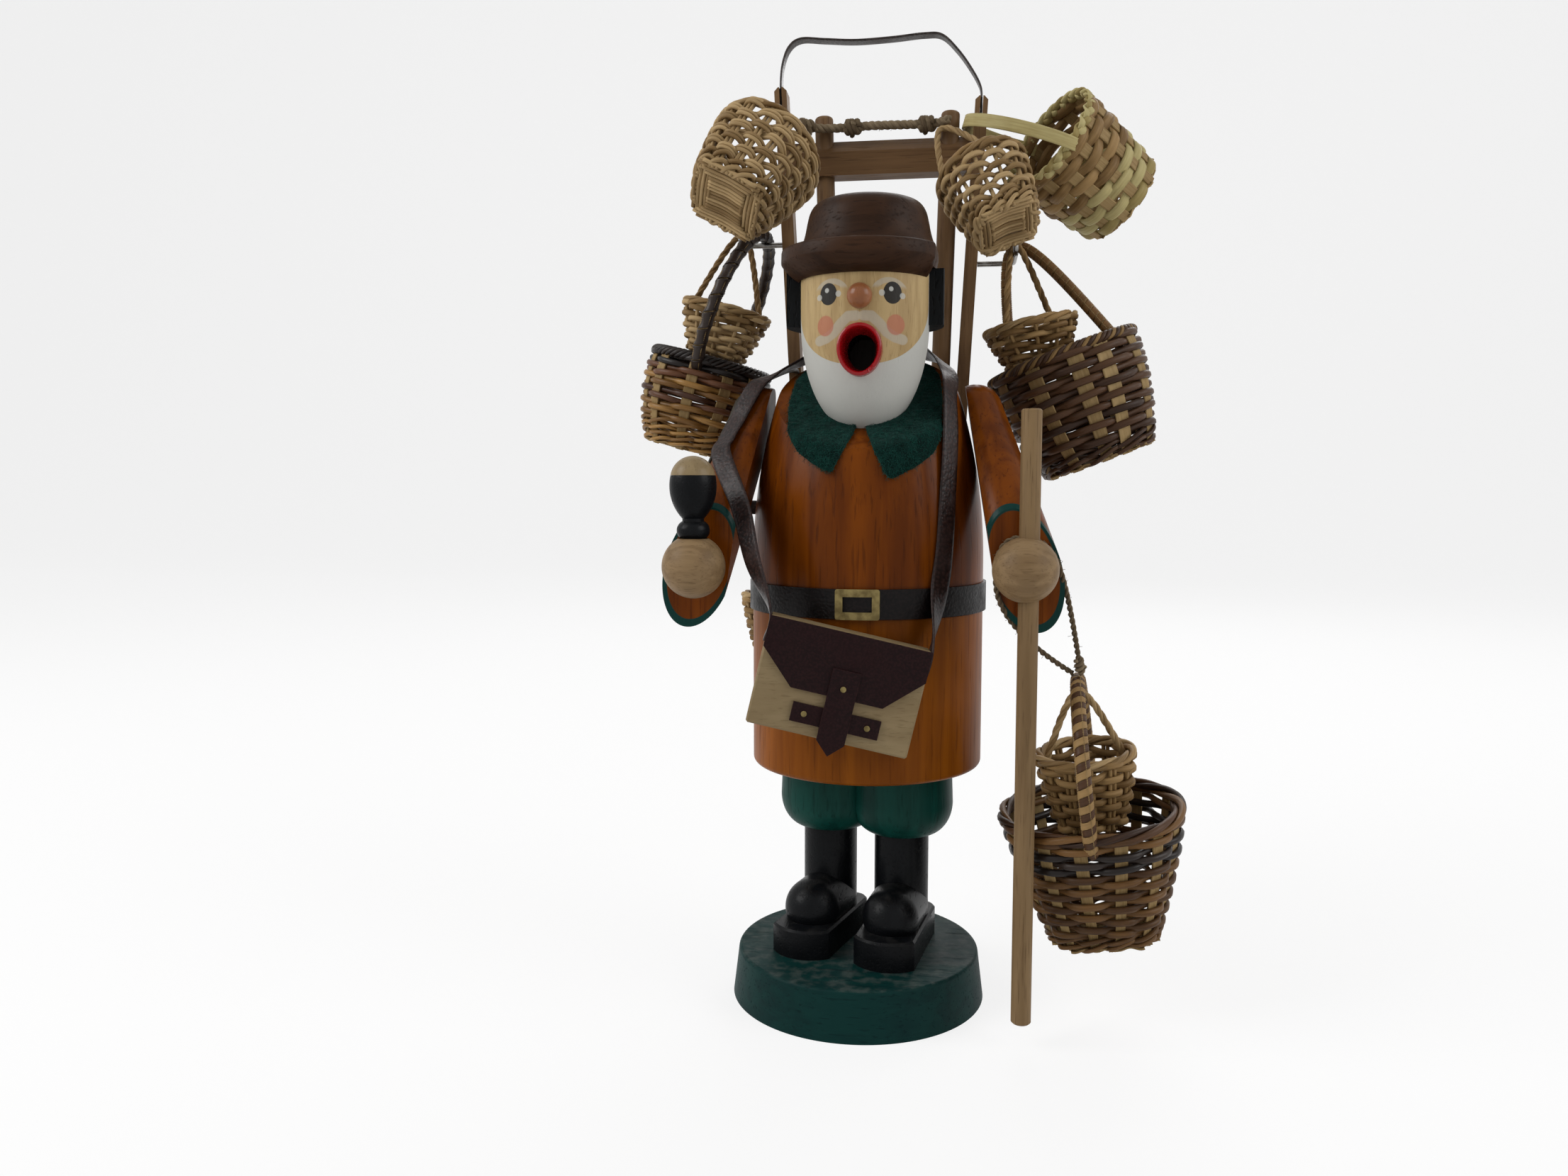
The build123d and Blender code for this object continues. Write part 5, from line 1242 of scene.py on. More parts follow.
@dataclass
class Basket:
    """One woven basket in the place of its plain solid."""

    name: str
    body: str
    nodes: tuple[str, ...]
    rim: Triple
    across: Triple
    up: Triple
    rim_radius: float
    foot_radius: float
    height: float
    stake_finish: Finish
    bands: tuple[Band, ...]
    handle: Handle
    seed: int
    slot: str = "pale_wicker"
    bulge: float = 0.5
    stakes: int = 12
    border: BorderKind = BorderKind.ROPE
    border_finishes: tuple[Finish, ...] = (PALE, TAN)
    stake_width: float = 4.2
    stake_rods: int = 0
    square: float = 0.0
    border_reach: float = 1.0
    wall: float = 1.9
    frame: Array = field(init=False)
    mesh: StrandMesh = field(init=False, default_factory=StrandMesh)
    rng: Rng = field(init=False)

    def __post_init__(self) -> None:
        """Works out the basket's own axes and starts its random draws."""
        up = unit(np.array(self.up))
        across = np.array(self.across)
        across = unit(across - up * float(across @ up))
        self.frame = np.stack((across, np.cross(up, across), up))
        self.rng = np.random.default_rng(self.seed)

    def middle(self, rise: Array) -> Array:
        """Radius of the wall's middle at a share of the height.

        Args:
            rise: Shares of the height, 0 at the foot.

        Returns:
            Radii in millimetres.
        """
        belly = (self.rim_radius + self.foot_radius) / 2 + self.bulge
        foot = self.foot_radius * (2 * rise - 1) * (rise - 1)
        rim = self.rim_radius * rise * (2 * rise - 1)
        return foot + belly * 4 * rise * (1 - rise) + rim - self.wall / 2

    def at(self, turn: Array, rise: Array, out: Array | float) -> tuple[Array, Array]:
        """Points near the wall.

        Args:
            turn: Angles about the basket's axis.
            rise: Shares of the height.
            out: Distances outside the wall's middle.

        Returns:
            Points in millimetres, and the outward directions there.
        """
        power = 2.0 + 2.6 * self.square * np.clip(1.0 - rise, 0.0, 1.0) ** 0.7
        corner = (np.abs(np.cos(turn)) ** power + np.abs(np.sin(turn)) ** power) ** (-1 / power)
        corner = corner * (1.0 - 0.055 * (power - 2.0))
        reach = self.middle(rise) * corner + out
        flat = np.stack((np.cos(turn), np.sin(turn), np.zeros_like(turn)), axis=1)
        local = flat * reach[:, None]
        local[:, 2] = (rise - 1.0) * self.height
        return np.array(self.rim) + local @ self.frame, flat @ self.frame

    def weave(self) -> Thing:
        """Weaves the basket and hides its plain solids.

        Returns:
            The woven piece.
        """
        self.weave_foot()
        self.weave_stakes()
        self.weave_rows()
        self.weave_border()
        self.handle.weave(self.mesh, self.rng)
        return declare(self.mesh.build(self.name), self.body, self.slot, *self.nodes)

    def weave_foot(self) -> None:
        """Plaits the bottom from strips that pass over and under each other."""
        if self.stake_rods:
            self.plait_square()
            return
        strips = max(5, int(self.foot_radius / 1.7))
        reach = self.foot_radius - 0.9
        pitch = 2 * reach / strips
        section = flat_section(pitch * 0.86, 0.7, 3, 0.1)
        for turned in (0, 1):
            for index in range(strips):
                shift = -reach + (index + 0.5) * pitch
                half = math.sqrt(max(reach * reach - shift * shift, 1.0))
                if self.square:
                    half = half * 0.6 + reach * 0.4
                along = np.linspace(-half, half, 4 * strips)
                wave = 0.42 * np.cos(math.pi * (along / pitch + index + turned))
                self.lay_rod(along, shift, wave + 0.9, bool(turned), section)

    def plait_square(self) -> None:
        """Lays the bottom of round rods: a bundle in the middle and square frames round it."""
        pitch, reach = 1.45, self.foot_radius - 0.6
        bundle = 0.42 * reach
        power = 2.0 + 2.6 * self.square
        rods = [(0, shift, bundle + pitch) for shift in np.arange(0.5 * pitch - bundle, bundle, pitch)]
        for depth in np.arange(bundle + 0.5 * pitch, reach, pitch):
            limit = max(reach**power - depth**power, 1.0) ** (1 / power)
            half = min(depth + 0.6 * pitch, limit)
            rods.extend((turned, side * depth, half) for turned in (0, 1) for side in (-1, 1))
        for turned, shift, half in rods:
            along = np.linspace(-half, half, 14)
            dip = 0.35 * np.cos(math.pi * along / half) * (1 - 2 * turned) + 0.12 * self.rng.standard_normal()
            self.lay_rod(along, shift, dip + 0.75, bool(turned), round_section(0.7))

    def lay_rod(self, along: Array, shift: float, lift: Array, turned: bool, section: Array) -> None:
        """Lays one rod or strip of the bottom.

        Args:
            along: Places along it.
            shift: Its distance from the middle.
            lift: Its height over the foot at each place.
            turned: Whether it runs the other way.
            section: Its cross-section.
        """
        local = np.stack((along, np.full_like(along, shift), lift - self.height), axis=1)
        if turned:
            local = local[:, [1, 0, 2]]
        out = np.repeat(self.frame[2:3], len(local), axis=0)
        path = np.array(self.rim) + local @ self.frame
        self.mesh.add(path, out, section, self.stake_finish, self.rng.random())

    def weave_stakes(self) -> None:
        """Stands the stakes round the foot."""
        rise = np.linspace(0.0, 0.985, 26)
        radius = self.middle(rise)
        rods = max(1, self.stake_rods)
        section, size = round_section(0.72, sides=6), None
        if not self.stake_rods:
            section = flat_section(self.stake_width, 0.8, 5, 0.16)
            size = np.clip(radius / radius[-1], 0.55, 1.1)
        for index in range(self.stakes):
            middle = 2 * math.pi * (index + 0.09 * self.rng.standard_normal()) / self.stakes
            for rod in range(rods):
                shift = (rod - (rods - 1) / 2) * 1.5 / radius
                path, out = self.at(middle + shift, rise, 0.0)
                self.mesh.add(path, out, section, self.stake_finish, 0.6 * self.rng.random(), scale=size)

    def weave_rows(self) -> None:
        """Passes the weavers round the stakes, row over row."""
        total = sum(band.rows for band in self.bands)
        pitch = 0.96 / total
        turn = np.linspace(0, 2 * math.pi, 8 * self.stakes, endpoint=False)
        swing = np.cos(self.stakes / 2 * turn)
        cross = np.sin(self.stakes / 2 * turn)
        flat = np.tanh(1.5 * swing) / math.tanh(1.5)
        row = 0
        stake_half = 0.7 if self.stake_rods else 0.4
        for band in self.bands:
            for _ in range(band.rows):
                sign = 1.0 if row % 2 else -1.0
                centre = 0.02 + (row + 0.5) * pitch
                waver = 0.1 * pitch * sum(
                    self.rng.standard_normal() * np.cos(k * turn + 6.28 * self.rng.random()) for k in (2, 3, 5)
                )
                swing_out = (stake_half + 0.88 * band.depth) * sign * flat
                tone = self.rng.random()
                tall = pitch * self.height / 2
                if band.weave is Weave.TWINED:
                    for strand in (1.0, -1.0):
                        lift = strand * sign * cross * 0.42 * pitch
                        path, out = self.at(turn, centre + waver + lift, strand * swing_out)
                        self.mesh.add(path, out, round_section(tall * 0.62, band.depth), band.finish, tone, True)
                else:
                    high = tall / band.rods
                    for rod in range(band.rods):
                        lift = (rod - (band.rods - 1) / 2) * pitch / band.rods
                        path, out = self.at(turn, centre + waver + lift, swing_out)
                        shade = min(1.0, max(0.0, tone + 0.25 * self.rng.standard_normal()))
                        self.mesh.add(path, out, round_section(high * 1.02, band.depth), band.finish, shade, True)
                row += 1

    def weave_border(self) -> None:
        """Closes the rim."""
        reach = self.border_reach
        rope, braid = self.border is BorderKind.ROPE, self.border is BorderKind.BRAID
        plies = 3 if rope else 5
        laps = self.stakes if rope else int(1.1 * self.rim_radius)
        laps = laps - laps % plies + 1
        count = 24 * self.stakes if braid else max(24 * self.stakes, 12 * laps)
        turn = np.linspace(0, 2 * math.pi, count, endpoint=False)
        level = np.full_like(turn, 1.0 - 0.6 * reach / self.height)
        if braid:
            for strand in range(3):
                phase = self.stakes * turn / 3 * 2 + strand * 2 * math.pi / 3
                lift = 1.1 * reach * np.sin(phase) / self.height
                path, out = self.at(turn, level + lift - 0.4 / self.height, 0.9 * np.sin(2 * phase))
                self.mesh.add(
                    path, out, round_section(1.25, 0.45, 6), self.border_finishes[0], self.rng.random(), True,
                )
            return
        rod = round_section(0.95 * reach, 0.8 * reach) if rope else round_section(0.75, 0.6)
        for ply in range(plies):
            phase = np.round(laps / plies) * turn * (1 if rope else 3) + 2 * math.pi * ply / plies
            path, out = self.at(turn, level + reach * np.sin(phase) / self.height, reach * np.cos(phase))
            lean = unit(out * np.cos(phase)[:, None] + self.frame[2] * np.sin(phase)[:, None])
            finish = self.border_finishes[ply % len(self.border_finishes)]
            self.mesh.add(path, lean, rod, finish, self.rng.random(), True)


def smooth_stations(points: Array) -> Array:
    """A smooth line through stations.

    Args:
        points: The stations.

    Returns:
        The line.
    """
    padded = np.concatenate((2 * points[:1] - points[1:2], points, 2 * points[-1:] - points[-2:-1]))
    runs = []
    share = np.linspace(0, 1, 16, endpoint=False)[:, None]
    for a, b, c, d in zip(padded, padded[1:], padded[2:], padded[3:]):
        bend = share**2 * (a - 2.5 * b + 2 * c - 0.5 * d)
        twist = share**3 * (-0.5 * a + 1.5 * b - 1.5 * c + 0.5 * d)
        runs.append(b + 0.5 * share * (c - a) + bend + twist)
    return np.concatenate((*runs, points[-1:]))


@dataclass
class Strap:
    """A flat leather strap led through stations, each a point and then the side that shows."""

    name: str
    body: str
    node: str
    slot: str
    finish: Finish
    width: float
    thick: float
    stations: tuple[tuple[float, ...], ...]

    def build(self) -> Thing:
        """Makes the strap and hides its plain solid.

        Returns:
            The strap.
        """
        stations = np.array(self.stations)
        line = smooth_stations(stations[:, :3])
        facing = unit(smooth_stations(stations[:, 3:]))
        mesh = StrandMesh()
        mesh.add(line, facing, self.section(), self.finish, 0.5)
        return declare(mesh.build(self.name), self.body, self.slot, self.node)

    def section(self) -> Array:
        """Cross-section with pressed edges and a slight crown.

        Returns:
            Corners as side and outward distances.
        """
        half, rise = self.width / 2, self.thick / 2
        across = np.linspace(1, -1, 9)
        crown = rise * (1.0 - 0.35 * np.abs(across) ** 6)
        top = np.stack((across * half * 0.97, crown), axis=1)
        low = np.stack((-across * half * 0.97, -crown), axis=1)
        return np.concatenate(([[half, 0.0]], top, [[-half, 0.0]], low))


@dataclass
class Twine:
    """A hemp twine of twisted plies on a smooth route."""

    name: str
    body: str
    node: str
    route: tuple[Triple, ...]
    lay: str
    diameter: float = 1.8
    plies: int = 2
    pitch: float = 4.6
    knots: tuple[float, ...] = ()
    seed: int = 5

    def line(self) -> Array:
        """Draws the route smooth.

        Returns:
            Its points, in millimetres.
        """
        curve = bpy.data.curves.new(f"{self.name}_route", "CURVE")
        curve.dimensions = "3D"
        curve.resolution_u = 24
        spline = curve.splines.new("NURBS")
        spline.points.add(len(self.route) - 1)
        for point, place in zip(spline.points, self.route):
            point.co = (*(value * MM for value in place), 1.0)
        spline.order_u = 3
        spline.use_endpoint_u = True
        holder = bpy.data.objects.new(f"{self.name}_route", curve)
        mesh = bpy.data.meshes.new_from_object(holder)
        line = np.array([vertex.co for vertex in mesh.vertices], float) / MM
        bpy.data.meshes.remove(mesh)
        bpy.data.objects.remove(holder)
        bpy.data.curves.remove(curve)
        return line

    def build(self) -> Thing:
        """Makes the twine and its knots.

        Returns:
            The twine.
        """
        rng = np.random.default_rng(self.seed)
        line = even(self.line(), 0.5)
        mesh = StrandMesh()
        ply = self.diameter * 0.29
        twist_round(mesh, line, self.plies, self.diameter * 0.23, self.pitch, round_section(ply), (HEMP,), rng)
        piece = declare(mesh.build(self.name), self.body, "hemp", self.node)
        extras = [self.hairs(line, rng)]
        for index, share in enumerate(self.knots):
            extras.append(self.knot(f"{self.name}_knot_{index + 1}", line, share, rng))
        return piece

    def hairs(self, line: Array, rng: Rng) -> Thing:
        """Loose fibres that stand off the twine.

        Args:
            line: The twine's line.
            rng: Source of their places.

        Returns:
            The fibres, as one piece.
        """
        mesh = StrandMesh()
        section = round_section(0.07, sides=3)
        for _ in range(int(len(line) * 0.5)):
            root = line[rng.integers(len(line))]
            way = unit(rng.standard_normal(3))
            bend = unit(rng.standard_normal(3))
            share = np.linspace(0.3, 1.0, 4)[:, None]
            path = root + way * share * rng.uniform(1.1, 2.0) + bend * share**2 * 0.5
            mesh.add(path, np.repeat(bend[None, :] + 0.01, 4, axis=0), section, HEMP, rng.random())
        return declare(mesh.build(f"{self.name}_fibres"), self.body, "hemp")

    def knot(self, name: str, line: Array, share: float, rng: Rng) -> Thing:
        """A knot: a few uneven turns round the line.

        Args:
            name: The piece's name.
            line: The twine's line.
            share: Where along the line it is tied.
            rng: Source of its unevenness.

        Returns:
            The knot.
        """
        middle = int(share * (len(line) - 1))
        low = max(0, min(middle - 5, len(line) - 11))
        stretch = line[low : low + 11]
        mesh = StrandMesh()
        section = round_section(self.diameter * 0.34)
        twist_round(mesh, stretch, 2, self.diameter * 0.62, 3.4, section, (HEMP,), rng)
        twist_round(mesh, stretch[2:9], 1, self.diameter * 0.95, -2.6, section, (HEMP,), rng, 1.0)
        return declare(mesh.build(name), self.body, "hemp")


@dataclass
class FeltCollar:
    """The felt collar: one sheet laid on the sloping neck and folded down over the chest."""

    name: str = "felt_collar_cloth"
    body: str = "upper_figure"
    node: str = "felt_collar"
    under: str = "upper_coat"
    neck: Triple = (-35.5, 185.5, 33.0)
    seat: float = 16.0
    right_edges: tuple[tuple[Pair, ...], ...] = (
        ((8.6, 178.3), (4.9, 185.2), (2.8, 189.3), (2.0, 191.7), (0.0, 196.0)),
        (
            (8.8, 178.3), (12.4, 179.7), (16.0, 181.9), (20.2, 185.4), (23.7, 191.5), (25.4, 197.8), (25.6, 204.6),
            (24.4, 210.6), (18.0, 215.4), (0.0, 216.6),
        ),
    )
    left_edges: tuple[tuple[Pair, ...], ...] = (
        ((9.6, 176.2), (8.3, 177.4), (5.0, 183.5), (1.8, 189.9), (0.9, 192.0), (0.0, 196.0)),
        (
            (9.8, 176.2), (13.1, 177.8), (17.9, 180.5), (22.8, 184.9), (24.8, 191.2), (25.4, 197.4), (25.1, 204.9),
            (23.4, 211.6), (17.0, 215.6), (0.0, 216.6),
        ),
    )
    rows: int = 104
    columns: int = 32
    thick: float = 1.3
    flat: Pair = (0.052, 0.064)
    lumps: float = 0.16
    fibres: int = 7000

    def build(self, nodes: dict[str, Thing]) -> Thing:
        """Cuts the collar, lays it on the coat and raises its fibres.

        Args:
            nodes: The frame's nodes by name.

        Returns:
            The collar.
        """
        piece = link(self.name, self.lay(nodes[self.under]))
        soft = piece.modifiers.new("soft", "SMOOTH")
        soft.iterations = 4
        felt = piece.modifiers.new("felt", "SOLIDIFY")
        felt.thickness = self.thick * MM
        felt.offset = 1.0
        fine = piece.modifiers.new("fine", "SUBSURF")
        fine.levels = fine.render_levels = 1
        view = bpy.context.evaluated_depsgraph_get()
        cut = bpy.data.meshes.new_from_object(piece.evaluated_get(view))
        piece.modifiers.clear()
        piece.data = cut
        cut.name = self.name
        places = np.empty(3 * len(cut.vertices))
        normals = np.empty_like(places)
        cut.vertices.foreach_get("co", places)
        cut.vertices.foreach_get("normal", normals)
        lumps = [noise.fractal(Vector(place) / MM * 0.8, 0.9, 2.0, 3) for place in places.reshape(-1, 3)]
        cut.vertices.foreach_set("co", places + normals * np.repeat(lumps, 3) * self.lumps * MM)
        cut.materials.clear()
        cut.materials.append(FELT.material())
        cut.shade_smooth()
        cut.update()
        declare(piece, self.body, "felt", self.node)
        fuzz = self.fuzz(cut)
        return piece

    def lay(self, chest: Thing) -> Mesh:
        """Lays the sheet on the coat, left half and right half.

        Args:
            chest: The solid that the collar lies on.

        Returns:
            The sheet's mesh, with no thickness.
        """
        tree = BVHTree.FromObject(chest, bpy.context.evaluated_depsgraph_get())
        front, foot, slope = self.neck
        climb = 1.0 / math.tan(math.radians(slope))
        grid = bmesh.new()
        for side, (inner, outer) in ((1, self.left_edges), (-1, self.right_edges)):
            near_edge, far_edge = np.array(inner), smooth_stations(np.array(outer))
            sheet = []
            for level in np.linspace(outer[0][1] + 0.05, outer[-1][1] - 0.05, self.rows):
                flat = front + climb * (level - foot)
                near = float(np.interp(level, near_edge[:, 1], near_edge[:, 0]))
                far = max(float(np.interp(level, far_edge[:, 1], far_edge[:, 0])), near + 0.1)
                row = []
                for share in np.linspace(0.0, 1.0, self.columns):
                    spot = Vector((side * (near + share * (far - near)), -200.0, level))
                    hit = tree.ray_cast(spot * MM, Vector((0.0, 1.0, 0.0)))[0]
                    if hit is None or math.hypot(spot.x, flat - HEAD_AXIS[1]) < self.seat:
                        hit = Vector((spot.x, flat, level)) * MM
                    row.append(None if self.hidden(hit / MM) else grid.verts.new(hit))
                sheet.append(row)
            for lower, upper in zip(sheet, sheet[1:]):
                for corners in zip(lower, lower[1:], upper[1:], upper):
                    if None not in corners:
                        grid.faces.new(corners if side > 0 else corners[::-1])
        bmesh.ops.remove_doubles(grid, verts=grid.verts, dist=0.05 * MM)
        mesh = bpy.data.meshes.new(self.name)
        grid.to_mesh(mesh)
        grid.free()
        return mesh

    def hidden(self, place: Vector) -> bool:
        """Whether a point lies under the head, where the felt is cut out.

        Args:
            place: The point in millimetres.

        Returns:
            True under the head.
        """
        edge = np.array(HEAD_EDGE)
        radius = float(np.interp(place.z, edge[:, 1], edge[:, 0], left=0.0))
        return math.hypot(place.x, place.y - HEAD_AXIS[1]) < radius - 1.0

    def fuzz(self, cut: Mesh) -> Thing:
        """Loose wool fibres on the collar's outer face.

        Args:
            cut: The collar's mesh.

        Returns:
            The fibres, as one piece.
        """
        rng = np.random.default_rng(11)
        mesh = StrandMesh()
        section = round_section(0.06, sides=3)
        for index in rng.integers(len(cut.polygons), size=self.fibres):
            polygon = cut.polygons[int(index)]
            root = np.array(polygon.center) / MM
            out = np.array(polygon.normal)
            if out[1] > 0.2 or out[2] < -0.5:
                continue
            slide = rng.standard_normal(3)
            slide = unit(slide - out * float(slide @ out))
            share = np.linspace(0, 1, 4)[:, None]
            reach = rng.uniform(0.7, 2.1)
            path = root + slide * share * reach + out * (0.34 * np.sin(share * 2.6) - 0.03)
            mesh.add(path, np.repeat(out[None, :], 4, axis=0), section, LINT, rng.random())
        return declare(mesh.build("felt_collar_fibres"), self.body, "felt")


def loop_mesh(name: str, rings: Array, closed: bool) -> Mesh:
    """Skin over a row of closed rings.

    Args:
        name: The mesh's name.
        rings: Points in millimetres, by ring and by place in the ring.
        closed: Whether the last ring meets the first; otherwise the end rings are capped.

    Returns:
        The mesh, in metres, smooth but for sharp edges.
    """
    count, around = rings.shape[:2]
    faces = []
    for ring in range(count if closed else count - 1):
        here, there = ring * around, (ring + 1) % count * around
        for place in range(around):
            after = (place + 1) % around
            faces.append((here + place, here + after, there + after, there + place))
    if not closed:
        faces.append(tuple(range(around))[::-1])
        faces.append(tuple(range((count - 1) * around, count * around)))
    mesh = bpy.data.meshes.new(name)
    mesh.from_pydata((rings.reshape(-1, 3) * MM).tolist(), [], faces)
    work = bmesh.new()
    work.from_mesh(mesh)
    bmesh.ops.remove_doubles(work, verts=work.verts, dist=1e-6)
    bmesh.ops.dissolve_degenerate(work, edges=work.edges, dist=1e-7)
    bmesh.ops.recalc_face_normals(work, faces=work.faces)
    work.to_mesh(mesh)
    work.free()
    mesh.shade_smooth()
    mesh.set_sharp_from_angle(angle=SHARP_EDGE)
    return mesh


def open_mouth(mesh: Mesh, oval: Triple) -> None:
    """Opens the mouth of the turned head as a blind bore.

    Args:
        mesh: The head's mesh.
        oval: Height of the mouth, then its half width and half height.
    """
    height, wide, tall = oval
    work = bmesh.new()
    work.from_mesh(mesh)
    cut = []
    for face in work.faces:
        x, y, z = face.calc_center_median() / MM
        if y < HEAD_AXIS[1] and math.hypot(x / wide, (z - height) / tall) < 1.0:
            cut.append(face)
    bmesh.ops.delete(work, geom=cut, context="FACES")
    rim = [edge for edge in work.edges if edge.is_boundary]
    grown = bmesh.ops.extrude_edge_only(work, edges=rim)["geom"]
    for item in grown:
        if isinstance(item, bmesh.types.BMVert):
            item.co = Vector((0.8 * item.co.x, -14.0 * MM, 0.2 * height * MM + 0.8 * item.co.z))
    # The cap that closes the bore is coloured near black by the face's painted shade.
    bmesh.ops.holes_fill(work, edges=[item for item in grown if isinstance(item, bmesh.types.BMEdge)])
    bmesh.ops.recalc_face_normals(work, faces=work.faces)
    work.to_mesh(mesh)
    work.free()


@dataclass
class TurnedPiece:
    """A part turned on the head's axis, whole or cut off at the temples."""

    name: str
    node: str
    profile: tuple[Pair, ...]
    finish: Finish = CAP
    axis: Pair = HEAD_AXIS
    sweep: float = 360.0
    turned: float = 0.0
    end_size: Pair = (1.0, 1.0)
    end_share: float = 0.09
    body: str = "upper_figure"
    slot: str = "cap_wood"
    level: float = 243.0
    mouth: Triple | None = None
    steps: int = 120

    def build(self) -> Thing:
        """Turns the piece and hides its plain solid.

        Returns:
            The piece.
        """
        whole = self.sweep >= 360.0
        share = np.linspace(0, 1, self.steps, endpoint=not whole)
        first, last = self.end_size
        size = np.interp(share, (0.0, self.end_share, 1 - self.end_share, 1.0), (first, 1.0, 1.0, last))
        angle = np.radians(270 + self.turned + (share - 0.5) * self.sweep)
        profile = np.array(self.profile)
        root = profile[0, 0]
        reach = root + (profile[None, :, 0] - root) * size[:, None]
        rings = np.stack(
            (
                self.axis[0] + reach * np.cos(angle)[:, None], self.axis[1] + reach * np.sin(angle)[:, None],
                np.broadcast_to(self.level + profile[None, :, 1], reach.shape),
            ),
            axis=2,
        )
        mesh = loop_mesh(self.name, rings, closed=whole)
        if self.mouth:
            open_mouth(mesh, self.mouth)
            mesh.set_sharp_from_angle(angle=SHARP_EDGE)
        mesh.materials.append(self.finish.material())
        return declare(link(self.name, mesh), self.body, self.slot, self.node)


def turned_pieces() -> list[TurnedPiece]:
    """The head, the cap's crown and its visor.

    Returns:
        The three pieces.
    """
    egg = (*(tuple(point) for point in smooth_stations(np.array(HEAD_EDGE))[::2]), (0.0, 242.9))
    flank = np.array(
        (
            (22.0, 0.1), (22.6, 3.0), (22.3, 6.0), (21.1, 8.6), (20.2, 11.6), (19.5, 15.0), (18.7, 18.0),
            (17.3, 20.2), (15.2, 21.5), (11.5, 22.4), (6.0, 22.9), (0.0, 23.0),
        )
    )
    crown = ((0.0, 0.1), *(tuple(point) for point in smooth_stations(flank)[::3]), (0.0, 23.0))
    visor = (
        (20.95, -3.5), (22.6, -2.7), (24.6, -1.1), (26.2, 0.6), (26.8, 1.3), (27.1, 1.75), (27.15, 2.2), (27.05, 5.0),
        (26.85, 5.7), (26.4, 6.2), (25.7, 6.45), (24.6, 6.5), (21.6, 6.5), (21.6, 0.2), (20.95, 0.2),
    )
    return [
        TurnedPiece(
            "head_turned", "head", egg, FACE, slot="face_wood", level=0.0, mouth=(MOUTH_Z, 6.3, 7.4), steps=200,
        ),
        TurnedPiece("cap_crown_turned", "cap_crown", crown, axis=(0.8, -17.0)),
        TurnedPiece(
            "cap_visor_turned", "cap_visor", visor, sweep=158.0, turned=-6.0, end_size=(0.9, 0.5), axis=(-0.4, -17.0),
        ),
    ]


@dataclass
class MouthRing:
    """The red mouth: an oval tube with a thin lip, a little chipped at its lower edge."""

    name: str = "mouth_ring_lacquered"
    body: str = "upper_figure"
    node: str = "mouth_ring"
    slot: str = "red_lacquer"
    middle_z: float = MOUTH_Z
    half: Pair = (7.0, 8.1)
    profile: tuple[Pair, ...] = (
        (0.0, -28.95), (0.0, -38.7), (0.12, -39.15), (0.5, -39.4), (0.95, -39.35), (1.25, -39.0), (1.35, -38.4),
        (1.7, -35.5), (2.3, -31.5), (2.6, -28.95),
    )
    egg: float = 0.06
    chip: Triple = (-0.95, 0.42, 0.55)
    steps: int = 160

    def build(self) -> Thing:
        """Makes the ring and hides its plain solid.

        Returns:
            The ring.
        """
        rng = np.random.default_rng(21)
        turn = np.linspace(0, 2 * math.pi, self.steps, endpoint=False)
        profile = np.array(self.profile)
        place, spread, depth = self.chip
        away = np.angle(np.exp(1j * (turn - place)))
        broken = depth * np.exp(-((away / spread) ** 2)) * rng.random(self.steps)
        lip = np.array([1.0 if front < -38.0 and inset > 0.3 else 0.0 for inset, front in self.profile])
        inset = profile[None, :, 0] + 0.5 * broken[:, None] * lip[None, :]
        fuller = 1.0 + self.egg * np.sin(turn)
        wide = (self.half[0] * fuller)[:, None] - inset
        tall = self.half[1] - inset
        rings = np.stack(
            (
                wide * np.cos(turn)[:, None], profile[None, :, 1] + broken[:, None] * lip[None, :],
                self.middle_z + tall * np.sin(turn)[:, None],
            ),
            axis=2,
        )
        mesh = loop_mesh(self.name, rings, closed=True)
        mesh.materials.append(RED.material())
        return declare(link(self.name, mesh), self.body, self.slot, self.node)


